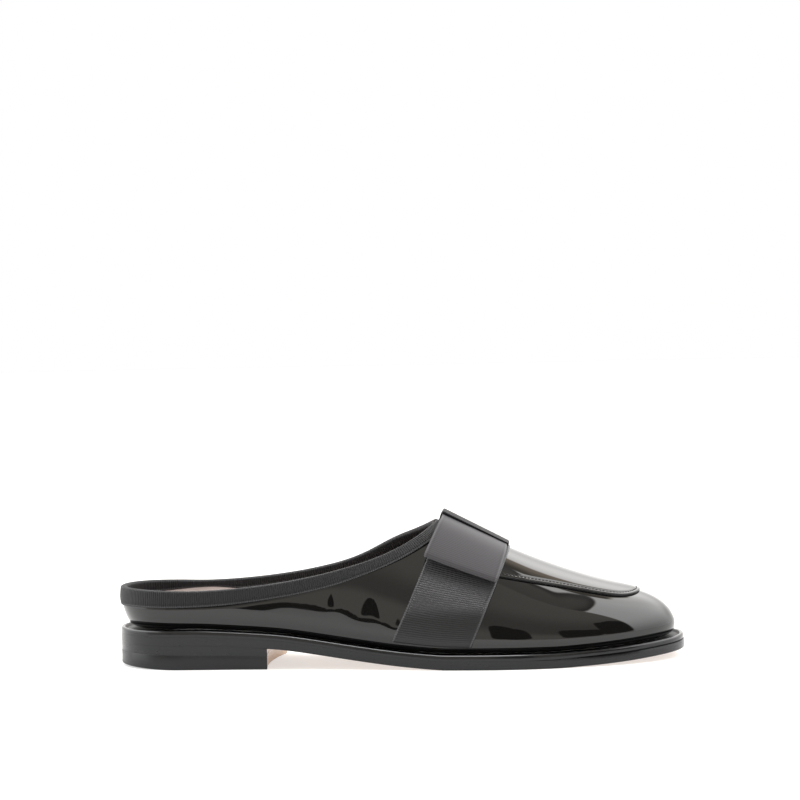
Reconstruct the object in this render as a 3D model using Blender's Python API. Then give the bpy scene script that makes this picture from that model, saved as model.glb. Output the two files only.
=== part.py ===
"""Right slip-on shoe with a low heel rim, an apron forepart and a flat ribbon bow, standing empty on its sole.

Sizes are millimetres along the shoe: x runs from the heel back to the toe, y to the medial side, z up.
"""
import bmesh
import bpy
import numpy as np

for item in list(bpy.data.objects):
    bpy.data.objects.remove(item)

MM = 0.001
LENGTH = 260.0
GAP = 0.3
BLUR = 6.0

HEEL_CAP = 30.0
HEEL_POWER = 2.1
TOE_CAP = 44.0
TOE_POWER = 2.5

OUTSOLE = 4.0
WELT = 2.4
WELT_INSET = 0.4
LIFT_TOP = 7.4
LIFT_SLOPE = 0.025
BEVEL_RISE = 1.2
BEVEL_RUN = 28.0
BREAST_LATERAL = 70.5
BREAST_MEDIAL = 74.3
BREAST_HOLLOW = 2.5

WALL = 1.8
FOLD = 2.5
MARGIN = 7.5
INSOLE = 2.4
SPINE_BACK = 30.0
SPINE_FRONT = 226.0
SPINE_BEND = 244.0
SPINE_STEP = 65.0
SPINE_SOFT = 6.0

TAPE = 0.6
STRAP_LEAN = 0.43
STRAP_BACK = 124.5
STRAP_FRONT = 158.7
BOW_BACK = 121.3
BOW_FRONT = 156.3
BOW_FLARE = 2.3
RIBBON = 0.45
BOW_LOW = 3.05
BOW_PINCH = 4.25
BOW_PUFF = 6.0
BOW_TAPER = 0.9
BOW_END_BACK = np.radians(46.5)
BOW_END_FRONT = np.radians(51.0)
KNOT_HALF = np.radians(6.0)
KNOT_LOW = 2.35
KNOT_TOP = 4.55

PLAN_X, PLAN_CENTRE, PLAN_LATERAL, PLAN_MEDIAL = range(4)
PLAN = np.array([
    (-20, 0.0, 27.5, 27.5),
    (0, 0.0, 28.0, 28.0),
    (30, 0.0, 29.5, 28.5),
    (60, 0.0, 30.0, 26.5),
    (90, 0.0, 31.5, 23.0),
    (110, 0.0, 34.5, 23.5),
    (130, 0.0, 38.5, 27.5),
    (150, 0.0, 42.0, 34.0),
    (170, 0.0, 43.5, 39.5),
    (185, 0.5, 43.5, 41.0),
    (200, 1.5, 42.0, 41.0),
    (215, 3.0, 39.5, 38.5),
    (230, 4.5, 36.0, 35.0),
    (245, 5.5, 32.0, 31.0),
    (260, 6.0, 29.0, 28.0),
    (280, 6.0, 26.0, 25.0),
])

SOLE_X, SOLE_BOTTOM = range(2)
SOLE = np.array([
    (-20, 11.1),
    (40, 11.1),
    (62, 9.9),
    (72, 9.3),
    (82, 8.2),
    (101, 5.3),
    (115, 3.3),
    (130, 1.5),
    (148, 0.0),
    (160, -0.4),
    (195, -0.3),
    (208, 0.2),
    (220, 0.7),
    (234, 1.5),
    (246, 2.5),
    (260, 3.7),
    (280, 5.5),
])

UP_X, UP_INSET, UP_BULGE, UP_RISE, UP_ROOF, UP_RIDGE, UP_SIDE, UP_CROWN = range(8)
UPPER = np.array([
    (-20, 5.0, 5.4, 16, 88.0, 0.0, 2.0, 2.0),
    (0, 5.0, 5.2, 15, 88.0, 0.0, 2.0, 2.0),
    (12, 5.0, 4.2, 14, 88.0, 0.0, 2.0, 2.0),
    (30, 5.0, 2.8, 12, 88.0, 0.0, 2.0, 2.0),
    (60, 4.6, 2.4, 10, 86.0, 0.0, 2.0, 2.0),
    (90, 4.4, 2.2, 9, 82.5, 0.5, 2.0, 2.0),
    (110, 4.4, 2.2, 8, 78.0, 1.2, 2.0, 2.0),
    (130, 4.4, 2.1, 8, 70.2, 2.2, 2.0, 2.0),
    (148, 4.5, 2.0, 7, 62.8, 3.0, 2.0, 2.0),
    (180, 4.6, 2.0, 7, 49.4, 4.0, 2.05, 2.05),
    (192, 4.7, 2.0, 7, 44.2, 4.2, 2.1, 2.05),
    (205, 4.8, 2.0, 7, 39.4, 4.5, 2.1, 2.1),
    (218, 5.2, 2.0, 7, 35.2, 4.8, 2.2, 2.2),
    (231, 5.6, 2.0, 7, 31.8, 5.2, 2.3, 2.3),
    (240, 6.0, 2.0, 7, 30.2, 5.5, 2.4, 2.3),
    (260, 6.4, 2.0, 7, 27.4, 6.0, 2.4, 2.3),
    (280, 6.4, 2.0, 7, 25.0, 6.0, 2.4, 2.3),
])

RIM_X, RIM_TOP, RIM_DROP = range(3)
RIM = np.array([
    (-20, 35.6, 8.6),
    (0, 35.5, 8.2),
    (10, 35.0, 7.4),
    (20, 34.3, 6.8),
    (36, 33.9, 6.2),
    (52, 34.5, 5.8),
    (65, 35.9, 5.4),
    (82, 38.3, 5.4),
    (100, 42.5, 5.8),
    (117, 48.0, 5.6),
    (126, 51.6, 5.6),
    (135, 56.0, 5.8),
    (141, 59.4, 6.2),
    (147, 63.3, 6.4),
    (155, 69.0, 6.4),
    (180, 86.5, 6.4),
])

APRON_BACK = 157.5
EDGE_X, EDGE_LEVEL = range(2)
APRON = np.array([
    (140, 46.5),
    (160, 43.0),
    (177, 39.6),
    (192, 36.6),
    (205, 34.0),
    (217, 31.4),
    (228, 29.4),
    (236, 28.8),
    (246, 28.9),
    (280, 28.9),
])


def read(table, column, x):
    """The column at x: straight between rows, then blurred by a bell curve of half-width BLUR."""
    steps = np.linspace(-2.4, 2.4, 17)
    weights = np.exp(-0.5 * steps**2)
    total = 0.0
    for step, weight in zip(steps, weights):
        total = total + weight * np.interp(x + BLUR * step, table[:, 0], table[:, column])
    return total / weights.sum()


TURN = np.linspace(0.0, 1.0, 4001)
TRACE_X = LENGTH * (1.0 - np.cos(np.pi * TURN)) / 2.0


def trace(side):
    """One side of the sole's outline: half-widths narrowed to a point by a rounded cap at either end."""
    back = np.clip(1.0 - TRACE_X / HEEL_CAP, 0.0, 1.0)
    front = np.clip((TRACE_X - LENGTH + TOE_CAP) / TOE_CAP, 0.0, 1.0)
    cap = (1.0 - back**HEEL_POWER) ** (1.0 / HEEL_POWER) * (1.0 - front**TOE_POWER) ** (1.0 / TOE_POWER)
    width = read(PLAN, PLAN_LATERAL if side < 0 else PLAN_MEDIAL, TRACE_X)
    y = read(PLAN, PLAN_CENTRE, TRACE_X) + side * width * cap
    run = np.gradient(TRACE_X)
    rise = np.gradient(y)
    size = np.hypot(run, rise)
    return y, -side * rise / size, side * run / size


OUTLINE = {-1: trace(-1), 1: trace(1)}


def edge(turn, side, inset):
    """Outline point at the turn (0 heel back, 1 toe tip), moved in by inset; and the outward direction there."""
    y, out_x, out_y = (np.interp(turn, TURN, values) for values in OUTLINE[side])
    x = LENGTH * (1.0 - np.cos(np.pi * turn)) / 2.0
    return x - inset * out_x, y - inset * out_y, out_x, out_y


def turn_at(x):
    return np.arccos(1.0 - 2.0 * x / LENGTH) / np.pi


def bottom(x):
    """Underside of the outsole: the table's line, laid flat where it would dip under the floor."""
    return np.maximum(read(SOLE, SOLE_BOTTOM, x), 0.0)


def seat(x):
    """Level on which the upper's turned-in margin lies."""
    return bottom(x) + OUTSOLE + GAP + WELT + GAP


def surface(turn, lift, side):
    """The lasted form: from the feather line (lift 0) over a rounded shoulder to the ridge (lift pi/2)."""
    base = LENGTH * (1.0 - np.cos(np.pi * turn)) / 2.0
    fx, fy, out_x, out_y = edge(turn, side, read(UPPER, UP_INSET, base))
    front = SPINE_FRONT - SPINE_BEND * (1.0 - turn) ** 2
    back = SPINE_BACK + SPINE_STEP * turn
    spine = -SPINE_SOFT * np.logaddexp(-base / SPINE_SOFT, -front / SPINE_SOFT)
    spine = SPINE_SOFT * np.logaddexp(spine / SPINE_SOFT, back / SPINE_SOFT)
    ridge = read(UPPER, UP_RIDGE, spine)
    reach = np.maximum(np.cos(lift), 0.0) ** (2.0 / read(UPPER, UP_SIDE, base))
    climb = np.sin(lift) ** (2.0 / read(UPPER, UP_CROWN, base))
    foot = seat(fx)
    z = foot + (read(UPPER, UP_ROOF, spine + (fx - spine) * reach) - foot) * climb
    part = np.clip((z - foot) / read(UPPER, UP_RISE, base), 0.0, 1.0)
    bulge = read(UPPER, UP_BULGE, base) * (1.0 - (1.0 - part) ** 2)
    x = spine + (fx + bulge * out_x - spine) * reach
    y = ridge + (fy + bulge * out_y - ridge) * reach
    return np.stack(np.broadcast_arrays(x, y, z), -1)


def normal(turn, lift, side):
    """Outward unit normal of the lasted form, from small steps along its two directions."""
    small = 1e-4
    low = np.clip(turn - small, 0.0, 1.0)
    high = np.clip(turn + small, 0.0, 1.0)
    under = np.clip(lift - small, small, np.pi / 2 - small)
    over = np.clip(lift + small, 2 * small, np.pi / 2)
    along = surface(high, lift, side) - surface(low, lift, side)
    up = surface(turn, over, side) - surface(turn, under, side)
    out = -side * np.cross(along, up)
    return out / np.linalg.norm(out, axis=-1, keepdims=True)


def halve(test, low, high):
    """Bisection for whole arrays: the place between low and high where test turns positive."""
    for _ in range(46):
        middle = (low + high) / 2.0
        positive = test(middle) > 0
        low = np.where(positive, low, middle)
        high = np.where(positive, middle, high)
    return (low + high) / 2.0


def lift_at(turn, side, level):
    """Lift at which the column at this turn reaches the height level(x)."""
    def above(lift):
        point = surface(turn, lift, side)
        return point[..., 2] - level(point[..., 0])
    return halve(above, np.zeros_like(turn), np.full_like(turn, np.pi / 2))


def rim_level(share):
    """Height of the collar edge, lowered by a share of the binding's depth."""
    def level(x):
        return read(RIM, RIM_TOP, x) - share * read(RIM, RIM_DROP, x)
    return level


def throat(share):
    """Turn at which a collar line lowered by share meets the ridge."""
    def past(turn):
        top = surface(turn, np.full_like(turn, np.pi / 2), -1)
        return rim_level(share)(top[..., 0]) - top[..., 2]
    return halve(past, np.array(0.4), np.array(0.8))


def weld(points, faces):
    """Joins points that coincide and drops the corners and faces that this empties."""
    _, first, index = np.unique(np.floor(points / 1e-4 + 0.3171), axis=0, return_index=True,
                                return_inverse=True)
    index = index.reshape(-1)
    kept = []
    for face in faces:
        corners = [int(index[corner]) for corner in face]
        corners = [c for i, c in enumerate(corners) if c != corners[i - 1]]
        if len(corners) > 2:
            kept.append(corners)
    return points[first], kept


def grid_faces(rows, columns, start=0, flip=False):
    """Quads of a rows by columns grid of points that are numbered row by row from start."""
    index = start + np.arange(rows * columns).reshape(rows, columns)
    quads = np.stack([index[:-1, :-1], index[1:, :-1], index[1:, 1:], index[:-1, 1:]], -1).reshape(-1, 4)
    return (quads[:, ::-1] if flip else quads).tolist()


def two_sided(lateral, medial):
    """One open sheet from a lateral and a medial grid (turn by lift) that share some of their edges."""
    rows, columns = lateral.shape[:2]
    points = np.concatenate([lateral.reshape(-1, 3), medial.reshape(-1, 3)])
    faces = grid_faces(rows, columns) + grid_faces(rows, columns, rows * columns, True)
    return weld(points, faces)


def thicken(points, faces, low, high):
    """A closed shell between the sheet's two offsets, with walls along its free edges."""
    out = np.zeros_like(points)
    free = {}
    for face in faces:
        corner = points[face]
        area = np.cross(corner[2] - corner[0], corner[-1] - corner[1])
        out[face] += area
        for start, end in zip(face, face[1:] + face[:1]):
            if (end, start) in free:
                del free[(end, start)]
            else:
                free[(start, end)] = True
    out /= np.linalg.norm(out, axis=1, keepdims=True)
    count = len(points)
    solid = np.concatenate([points + out * high, points + out * low])
    shell = list(faces)
    shell += [[corner + count for corner in reversed(face)] for face in faces]
    shell += [[end, start, start + count, end + count] for start, end in free]
    return solid, shell


SOLE_TURNS = np.linspace(0.0, 1.0, 45)


def ring(inset, turns=SOLE_TURNS):
    """The outline moved in by inset, once round: lateral side to the toe, then the medial side back."""
    lateral = np.stack(edge(turns, -1, inset)[:2], -1)
    medial = np.stack(edge(turns, 1, inset)[:2], -1)
    return np.concatenate([lateral, medial[-2:0:-1]])


def around(rows, close):
    """Walls between rings of points; close adds flat lids, or else joins the last ring to the first."""
    count = len(rows[0])
    here = np.arange(count)
    after = np.roll(here, -1)
    faces = []
    pairs = list(range(len(rows) - 1))
    for row in pairs:
        low = row * count
        faces += np.stack([low + here, low + after, low + count + after, low + count + here], -1).tolist()
    if not close:
        last = (len(rows) - 1) * count
        faces += np.stack([last + here, last + after, after, here], -1).tolist()
        return np.concatenate(rows), faces
    half = count // 2
    far = (count - np.arange(half + 1)) % count
    near = np.arange(half + 1)
    lid = np.stack([near[:-1], near[1:], far[1:], far[:-1]], -1)
    top = (len(rows) - 1) * count
    faces += lid[:, ::-1].tolist() + (lid + top).tolist()
    return np.concatenate(rows), faces


def raised(flat, level):
    return np.column_stack([flat, level(flat[:, 0])])


def outsole():
    """Plate with a softened edge that follows the sole's line."""
    rows = [
        raised(ring(0.7), bottom),
        raised(ring(0.0), lambda x: bottom(x) + 0.7),
        raised(ring(0.0), lambda x: bottom(x) + OUTSOLE),
    ]
    return around(rows, True)


def welt():
    """Strip between outsole and upper, with a rounded upper lip."""
    low = OUTSOLE + GAP
    inner = ring(16.0)
    rows = [
        raised(inner, lambda x: bottom(x) + low),
        raised(ring(WELT_INSET), lambda x: bottom(x) + low),
        raised(ring(WELT_INSET), lambda x: bottom(x) + low + WELT - 0.6),
        raised(ring(WELT_INSET + 0.6), lambda x: bottom(x) + low + WELT),
        raised(inner, lambda x: bottom(x) + low + WELT),
    ]
    return around(rows, False)


def insole():
    """Sock board inside the shell; its core goes down through margin and welt to the outsole."""
    base = LENGTH * (1.0 - np.cos(np.pi * SOLE_TURNS)) / 2.0
    line = read(UPPER, UP_INSET, base)
    part = np.clip((WALL + GAP + INSOLE) / read(UPPER, UP_RISE, base), 0.0, 1.0)
    lean = read(UPPER, UP_BULGE, base) * (1.0 - (1.0 - part) ** 2)
    core = ring(17.0)
    ledge = lambda x: seat(x) + WALL + GAP
    rows = [
        raised(core, lambda x: bottom(x) + OUTSOLE + GAP),
        raised(core, ledge),
        raised(ring(line + FOLD + 0.3), ledge),
        raised(ring(line + WALL + 1.1 - lean), lambda x: seat(x) + WALL + GAP + INSOLE),
    ]
    return around(rows, True)


def heel_grid(inset):
    """Plan points of the heel from its back to the hollow breast: rows along it, columns across."""
    share = np.sin(np.linspace(0.0, np.pi / 2, 13))[:, None]
    across = np.linspace(0.0, 1.0, 7)[None, :]
    lateral = np.stack(edge(share[:, 0] * turn_at(BREAST_LATERAL), -1, inset)[:2], -1)[:, None, :]
    medial = np.stack(edge(share[:, 0] * turn_at(BREAST_MEDIAL), 1, inset)[:2], -1)[:, None, :]
    grid = lateral + (medial - lateral) * across[..., None]
    grid[..., 0] -= BREAST_HOLLOW * share**6 * 4.0 * across * (1.0 - across)
    return grid


def heel_solid(low_grid, low_level, high_grid, high_level):
    """Two heel plans at their heights, with walls around them."""
    rows, columns = low_grid.shape[:2]
    count = rows * columns
    points = np.concatenate([raised(low_grid.reshape(-1, 2), low_level),
                             raised(high_grid.reshape(-1, 2), high_level)])
    faces = grid_faces(rows, columns, 0, True) + grid_faces(rows, columns, count)
    index = np.arange(count).reshape(rows, columns)
    border = np.concatenate([index[:, 0], index[-1, 1:], index[-2:0:-1, -1]])
    after = np.roll(border, -1)
    faces += np.stack([border, after, after + count, border + count], -1).tolist()
    return weld(points, faces)


def lift_top(x):
    return LIFT_TOP - LIFT_SLOPE * x


def lift_floor(x):
    return BEVEL_RISE * np.clip(1.0 - x / BEVEL_RUN, 0.0, 1.0) ** 1.5


def top_lift():
    """Rubber lift, flat on the floor and cut up a little at the back."""
    return heel_solid(heel_grid(0.2), lift_floor, heel_grid(0.0), lift_top)


def heel_block():
    """Leather lift between the rubber and the outsole."""
    return heel_solid(heel_grid(0.3), lambda x: lift_top(x) + GAP, heel_grid(0.3), lambda x: bottom(x) - GAP)


THROAT = throat(0.0)
OPEN_SHARE = np.sin(np.linspace(0.0, np.pi / 2, 30))
UPPER_TURNS = np.concatenate([THROAT * OPEN_SHARE, np.linspace(THROAT, 1.0, 21)[1:]])


def upper_side(side):
    """One side of the shell's outside: margin, turned fold, then the lasted form up to collar or ridge."""
    turns = UPPER_TURNS
    top = np.where(turns < THROAT, lift_at(turns, side, rim_level(0.0)), np.pi / 2)
    start = lift_at(turns, side, lambda x: seat(x) + FOLD)
    shares = np.linspace(0.0, 1.0, 9)
    lifts = start[:, None] + (top - start)[:, None] * shares
    wall = surface(turns[:, None], lifts, side)
    base = LENGTH * (1.0 - np.cos(np.pi * turns)) / 2.0
    line = read(UPPER, UP_INSET, base)
    lean = np.hypot(*(wall[:, 0, :2] - np.stack(edge(turns, side, line)[:2], -1)).T)
    under = []
    for inward, height in ((FOLD + MARGIN, 0.0), (FOLD, 0.0), (0.29 * FOLD, 0.29 * FOLD)):
        flat = np.stack(edge(turns, side, line + inward - lean * height / FOLD)[:2], -1)
        under.append(np.column_stack([flat, seat(flat[:, 0]) + height]))
    return np.concatenate([np.stack(under, 1), wall], 1)


def upper():
    points, faces = two_sided(upper_side(-1), upper_side(1))
    return thicken(points, faces, -WALL, 0.0)


def apron():
    """Plug over the forepart, from the strap to its rounded front edge."""
    turns = np.linspace(turn_at(APRON_BACK), 1.0, 19)
    sides = []
    for side in (-1, 1):
        low = lift_at(turns, side, lambda x: read(APRON, EDGE_LEVEL, x))
        lifts = low[:, None] + (np.pi / 2 - low)[:, None] * np.linspace(0.0, 1.0, 8)
        sides.append(surface(turns[:, None], lifts, side))
    points, faces = two_sided(*sides)
    return thicken(points, faces, GAP, GAP + 0.9)


def binding():
    """Tape folded over the collar edge: a closed loop of U-shaped sections."""
    section = [
        (1.0, 0.0, 1.1), (0.5, 0.0, 1.1), (0.0, 0.0, 1.1), (0.0, 1.1, 0.3), (0.0, 1.1, -2.1),
        (0.0, 0.0, -2.95), (0.5, 0.0, -2.95), (0.5, 0.0, -2.15), (0.0, 0.0, -2.15), (0.0, 0.35, -2.15),
        (0.0, 0.35, 0.3), (0.0, 0.0, 0.3), (0.5, 0.0, 0.3), (1.0, 0.0, 0.3),
    ]
    lines = {}
    for share in (0.0, 0.5, 1.0):
        turns = throat(share) * OPEN_SHARE
        for side in (-1, 1):
            lift = np.where(turns < throat(share), lift_at(turns, side, rim_level(share)), np.pi / 2)
            lines[share, side] = surface(turns, lift, side), normal(turns, lift, side)
    rows = []
    for share, rise, out in section:
        sides = []
        for side in (-1, 1):
            place, facing = lines[share, side]
            up = lines[0.0, side][0] - lines[0.5, side][0]
            up /= np.linalg.norm(up, axis=1, keepdims=True)
            sides.append(place + up * rise + facing * out)
        rows.append(np.concatenate([sides[0], sides[1][-2:0:-1]]))
    return around(rows, False)


def across_strap(place, lift, side):
    """Turn at which the form at this lift crosses the sloping plane of the strap at place."""
    def past(turn):
        point = surface(turn, lift, side)
        return point[..., 0] - STRAP_LEAN * point[..., 2] - place
    return halve(past, np.full_like(lift, 0.2), np.full_like(lift, 0.9))


def strap():
    """Band over the instep from feather to feather, lying low at its ends and over the apron above."""
    lifts = np.radians(np.concatenate([np.linspace(3.2, 40.0, 9), np.linspace(45.0, 90.0, 9)]))
    ramp = np.clip((np.degrees(lifts) - 14.0) / 18.0, 0.0, 1.0)
    height = GAP + 1.2 * ramp**2 * (3.0 - 2.0 * ramp)
    low, high = [], []
    for place in np.linspace(STRAP_BACK, STRAP_FRONT, 5):
        turned = {side: across_strap(place, lifts, side) for side in (-1, 1)}
        form = {side: surface(turned[side], lifts, side) for side in (-1, 1)}
        face = {side: normal(turned[side], lifts, side) for side in (-1, 1)}
        for rows, thick in ((low, 0.0), (high, TAPE)):
            ends = [form[side] + face[side] * (height + thick)[:, None] for side in (-1, 1)]
            rows.append(np.concatenate([ends[0], ends[1][-2::-1]]))
    low, high = np.array(low), np.array(high)
    rows, columns = low.shape[:2]
    count = rows * columns
    points = np.concatenate([low.reshape(-1, 3), high.reshape(-1, 3)])
    faces = grid_faces(rows, columns, 0, True) + grid_faces(rows, columns, count)
    index = np.arange(count).reshape(rows, columns)
    border = np.concatenate([index[0], index[1:, -1], index[-1, -2::-1], index[-2:0:-1, 0]])
    after = np.roll(border, -1)
    faces += np.stack([border, border + count, after + count, after], -1).tolist()
    return points, faces


def over_ridge(place, angle, out):
    """Point above the instep: strap plane, signed angle from the ridge (lateral below 0), height off the form."""
    lift = np.pi / 2 - np.abs(angle)
    points = np.zeros(angle.shape + (3,))
    for side in (-1, 1):
        chosen = angle <= 0 if side < 0 else angle > 0
        turned = across_strap(place[chosen], lift[chosen], side)
        facing = normal(turned, lift[chosen], side)
        points[chosen] = surface(turned, lift[chosen], side) + facing * out[chosen][..., None]
    return points


def hollow(outside, inside):
    """A closed band from its outer and inner rings (rows across the band, columns around it)."""
    rows, columns = outside.shape[:2]
    count = rows * columns
    index = np.arange(count).reshape(rows, columns)
    after = np.roll(index, -1, 1)
    skin = np.stack([index[:-1], after[:-1], after[1:], index[1:]], -1).reshape(-1, 4)
    faces = skin.tolist() + (skin[:, ::-1] + count).tolist()
    for row, flip in ((0, True), (rows - 1, False)):
        lip = np.stack([index[row], after[row], after[row] + count, index[row] + count], -1)
        faces += (lip[:, ::-1] if flip else lip).tolist()
    return np.concatenate([outside.reshape(-1, 3), inside.reshape(-1, 3)]), faces


def bow_loops():
    """Ribbon folded to a flat loop on either side, drawn together under the knot."""
    share = np.linspace(-1.0, 1.0, 19)
    swell = np.sin(np.clip(np.abs(share), 0.0, 0.62) / 0.62 * np.pi / 2) ** 2
    top = BOW_PINCH + (BOW_PUFF - BOW_PINCH) * swell
    middle = (top[-1] + BOW_LOW) / 2.0
    outer_share = np.concatenate([share * 0.965, [1.0], -share * 0.965, [-1.0]])
    outer_out = np.concatenate([top, [middle], np.full(19, BOW_LOW), [middle]])
    inner_share = np.concatenate([share * 0.95, [0.98], -share * 0.95, [-0.98]])
    inner_out = np.concatenate([top - RIBBON, [middle], np.full(19, BOW_LOW + RIBBON), [middle]])
    outside, inside = [], []
    for along in np.linspace(0.0, 1.0, 4):
        end = BOW_END_BACK + (BOW_END_FRONT - BOW_END_BACK) * along
        lifted = BOW_TAPER * (1.0 - along)
        for rows, part, out in ((outside, outer_share, outer_out), (inside, inner_share, inner_out)):
            place = BOW_BACK + (BOW_FRONT - BOW_BACK + BOW_FLARE * np.abs(part)) * along
            rows.append(over_ridge(place, part * end, out + lifted))
    return hollow(np.array(outside), np.array(inside))


def bow_knot():
    """Band around the middle of the bow, passing under it above the strap."""
    count = 8
    share = np.linspace(0.0, 1.0, count)
    thick = RIBBON * 1.2
    beside = GAP * 1.2
    back, front = BOW_BACK - beside, BOW_FRONT + BOW_FLARE * KNOT_HALF / BOW_END_FRONT + beside
    along = back + (front - back) * share
    lifted = BOW_TAPER * (1.0 - share)
    inner_place = np.concatenate([along, along[::-1]])
    inner_out = np.concatenate([KNOT_TOP + lifted, np.full(count, KNOT_LOW + 0.4)])
    outer_place = inner_place.copy()
    outer_place[[0, -1]] -= thick
    outer_place[[count - 1, count]] += thick
    outer_out = np.concatenate([KNOT_TOP + thick + lifted, np.full(count, KNOT_LOW)])
    outer_out[[0, count - 1]] -= thick * 0.5
    outside, inside = [], []
    for angle in np.linspace(-KNOT_HALF, KNOT_HALF, 5):
        outside.append(over_ridge(outer_place, np.full(2 * count, angle), outer_out))
        inside.append(over_ridge(inner_place, np.full(2 * count, angle), inner_out))
    return hollow(np.array(outside), np.array(inside))


def material(name, colour, roughness, coat):
    made = bpy.data.materials.new(name)
    made.use_nodes = True
    shader = made.node_tree.nodes["Principled BSDF"]
    shader.inputs["Base Color"].default_value = (*colour, 1.0)
    shader.inputs["Roughness"].default_value = roughness
    shader.inputs["Metallic"].default_value = 0.0
    shader.inputs["Coat Weight"].default_value = coat
    return made


PIECES = [
    ("outsole", outsole, (0.030, 0.028, 0.027), 0.45, 0.2),
    ("heel_block", heel_block, (0.030, 0.028, 0.027), 0.40, 0.2),
    ("top_lift", top_lift, (0.022, 0.022, 0.022), 0.70, 0.0),
    ("welt", welt, (0.028, 0.026, 0.026), 0.40, 0.2),
    ("upper", upper, (0.010, 0.010, 0.011), 0.12, 1.0),
    ("insole", insole, (0.420, 0.350, 0.335), 0.60, 0.0),
    ("apron", apron, (0.011, 0.011, 0.012), 0.12, 1.0),
    ("topline_binding", binding, (0.030, 0.030, 0.032), 0.75, 0.0),
    ("vamp_strap", strap, (0.034, 0.034, 0.036), 0.75, 0.0),
    ("bow_loops", bow_loops, (0.038, 0.038, 0.040), 0.75, 0.0),
    ("bow_knot", bow_knot, (0.036, 0.036, 0.038), 0.75, 0.0),
]

SOLIDS = {name: shape() for name, shape, *_ in PIECES}
EVERY = np.concatenate([points for points, _ in SOLIDS.values()])
ORIGIN = np.array([*(EVERY.min(0) + EVERY.max(0))[:2] / 2.0, 0.0])

for name, shape, colour, roughness, coat in PIECES:
    points, faces = SOLIDS[name]
    mesh = bpy.data.meshes.new(name)
    mesh.from_pydata(((points - ORIGIN) * MM).tolist(), [], faces)
    editing = bmesh.new()
    editing.from_mesh(mesh)
    bmesh.ops.recalc_face_normals(editing, faces=editing.faces)
    bmesh.ops.triangulate(editing, faces=editing.faces)
    editing.to_mesh(mesh)
    editing.free()
    mesh.materials.append(material(name, colour, roughness, coat))
    bpy.context.collection.objects.link(bpy.data.objects.new(name, mesh))
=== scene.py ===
from functools import partialmethod

import bpy
import numpy as np
from mathutils import Matrix


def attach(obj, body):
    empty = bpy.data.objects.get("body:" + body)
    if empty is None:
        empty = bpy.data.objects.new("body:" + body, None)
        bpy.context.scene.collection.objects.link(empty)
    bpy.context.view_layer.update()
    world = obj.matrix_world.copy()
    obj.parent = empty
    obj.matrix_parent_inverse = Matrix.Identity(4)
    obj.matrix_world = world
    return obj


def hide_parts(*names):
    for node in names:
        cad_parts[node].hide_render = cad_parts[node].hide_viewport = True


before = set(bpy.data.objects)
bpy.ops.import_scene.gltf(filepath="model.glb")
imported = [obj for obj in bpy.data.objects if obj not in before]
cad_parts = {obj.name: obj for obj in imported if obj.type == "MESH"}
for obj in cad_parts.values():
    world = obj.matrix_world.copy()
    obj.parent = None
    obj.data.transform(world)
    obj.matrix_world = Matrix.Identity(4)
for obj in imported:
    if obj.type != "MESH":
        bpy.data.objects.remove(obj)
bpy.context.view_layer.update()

# Upper: vamp and quarters cut from black patent leather, closed at the heel and lasted over the form.
# One skin about a millimetre thick, turned in under the insole all round, with soft waves in the
# quarters where it was pulled down by hand. Sizes are millimetres from the heel back, z up.
MM = 0.001
MIDDLE = np.array([129.7379409, -0.5290096, 0.0])
LATERAL, MEDIAL = SIDES = -1, 1
LENGTH = 260.0
SOFT = 3.3
HEEL_CAP, HEEL_POWER = 30.0, 2.1
TOE_CAP, TOE_POWER = 44.0, 2.5
OUTSOLE, WELT, JOINT = 4.0, 2.4, 0.3
SKIN, WALL = 1.0, 1.8
FOLD, MARGIN = 1.6, 7.5
SPINE_BACK, SPINE_STEP = 30.0, 65.0
SPINE_FRONT, SPINE_BEND = 226.0, 244.0
SPINE_SOFT, SOLE_SOFT = 6.0, 0.04

PLAN_CENTRE, PLAN_LATERAL, PLAN_MEDIAL = range(1, 4)
PLAN = np.array([
    (-20, 0.0, 27.5, 27.5),
    (0, 0.0, 28.0, 28.0),
    (30, 0.0, 29.5, 28.5),
    (60, 0.0, 30.0, 26.5),
    (90, 0.0, 31.5, 23.0),
    (110, 0.0, 34.5, 23.5),
    (130, 0.0, 38.5, 27.5),
    (150, 0.0, 42.0, 34.0),
    (170, 0.0, 43.5, 39.5),
    (185, 0.5, 43.5, 41.0),
    (200, 1.5, 42.0, 41.0),
    (215, 3.0, 39.5, 38.5),
    (230, 4.5, 36.0, 35.0),
    (245, 5.5, 32.0, 31.0),
    (260, 6.0, 29.0, 28.0),
    (280, 6.0, 26.0, 25.0),
])
SOLE_BOTTOM = 1
SOLE = np.array([
    (-20, 11.1), (40, 11.1), (62, 9.9), (72, 9.3), (82, 8.2), (101, 5.3), (115, 3.3), (130, 1.5), (148, 0.0),
    (160, -0.4), (195, -0.3), (208, 0.2), (220, 0.7), (234, 1.5), (246, 2.5), (260, 3.7), (280, 5.5),
])
UP_INSET, UP_BULGE, UP_RISE, UP_ROOF, UP_RIDGE, UP_SIDE, UP_CROWN = range(1, 8)
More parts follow.
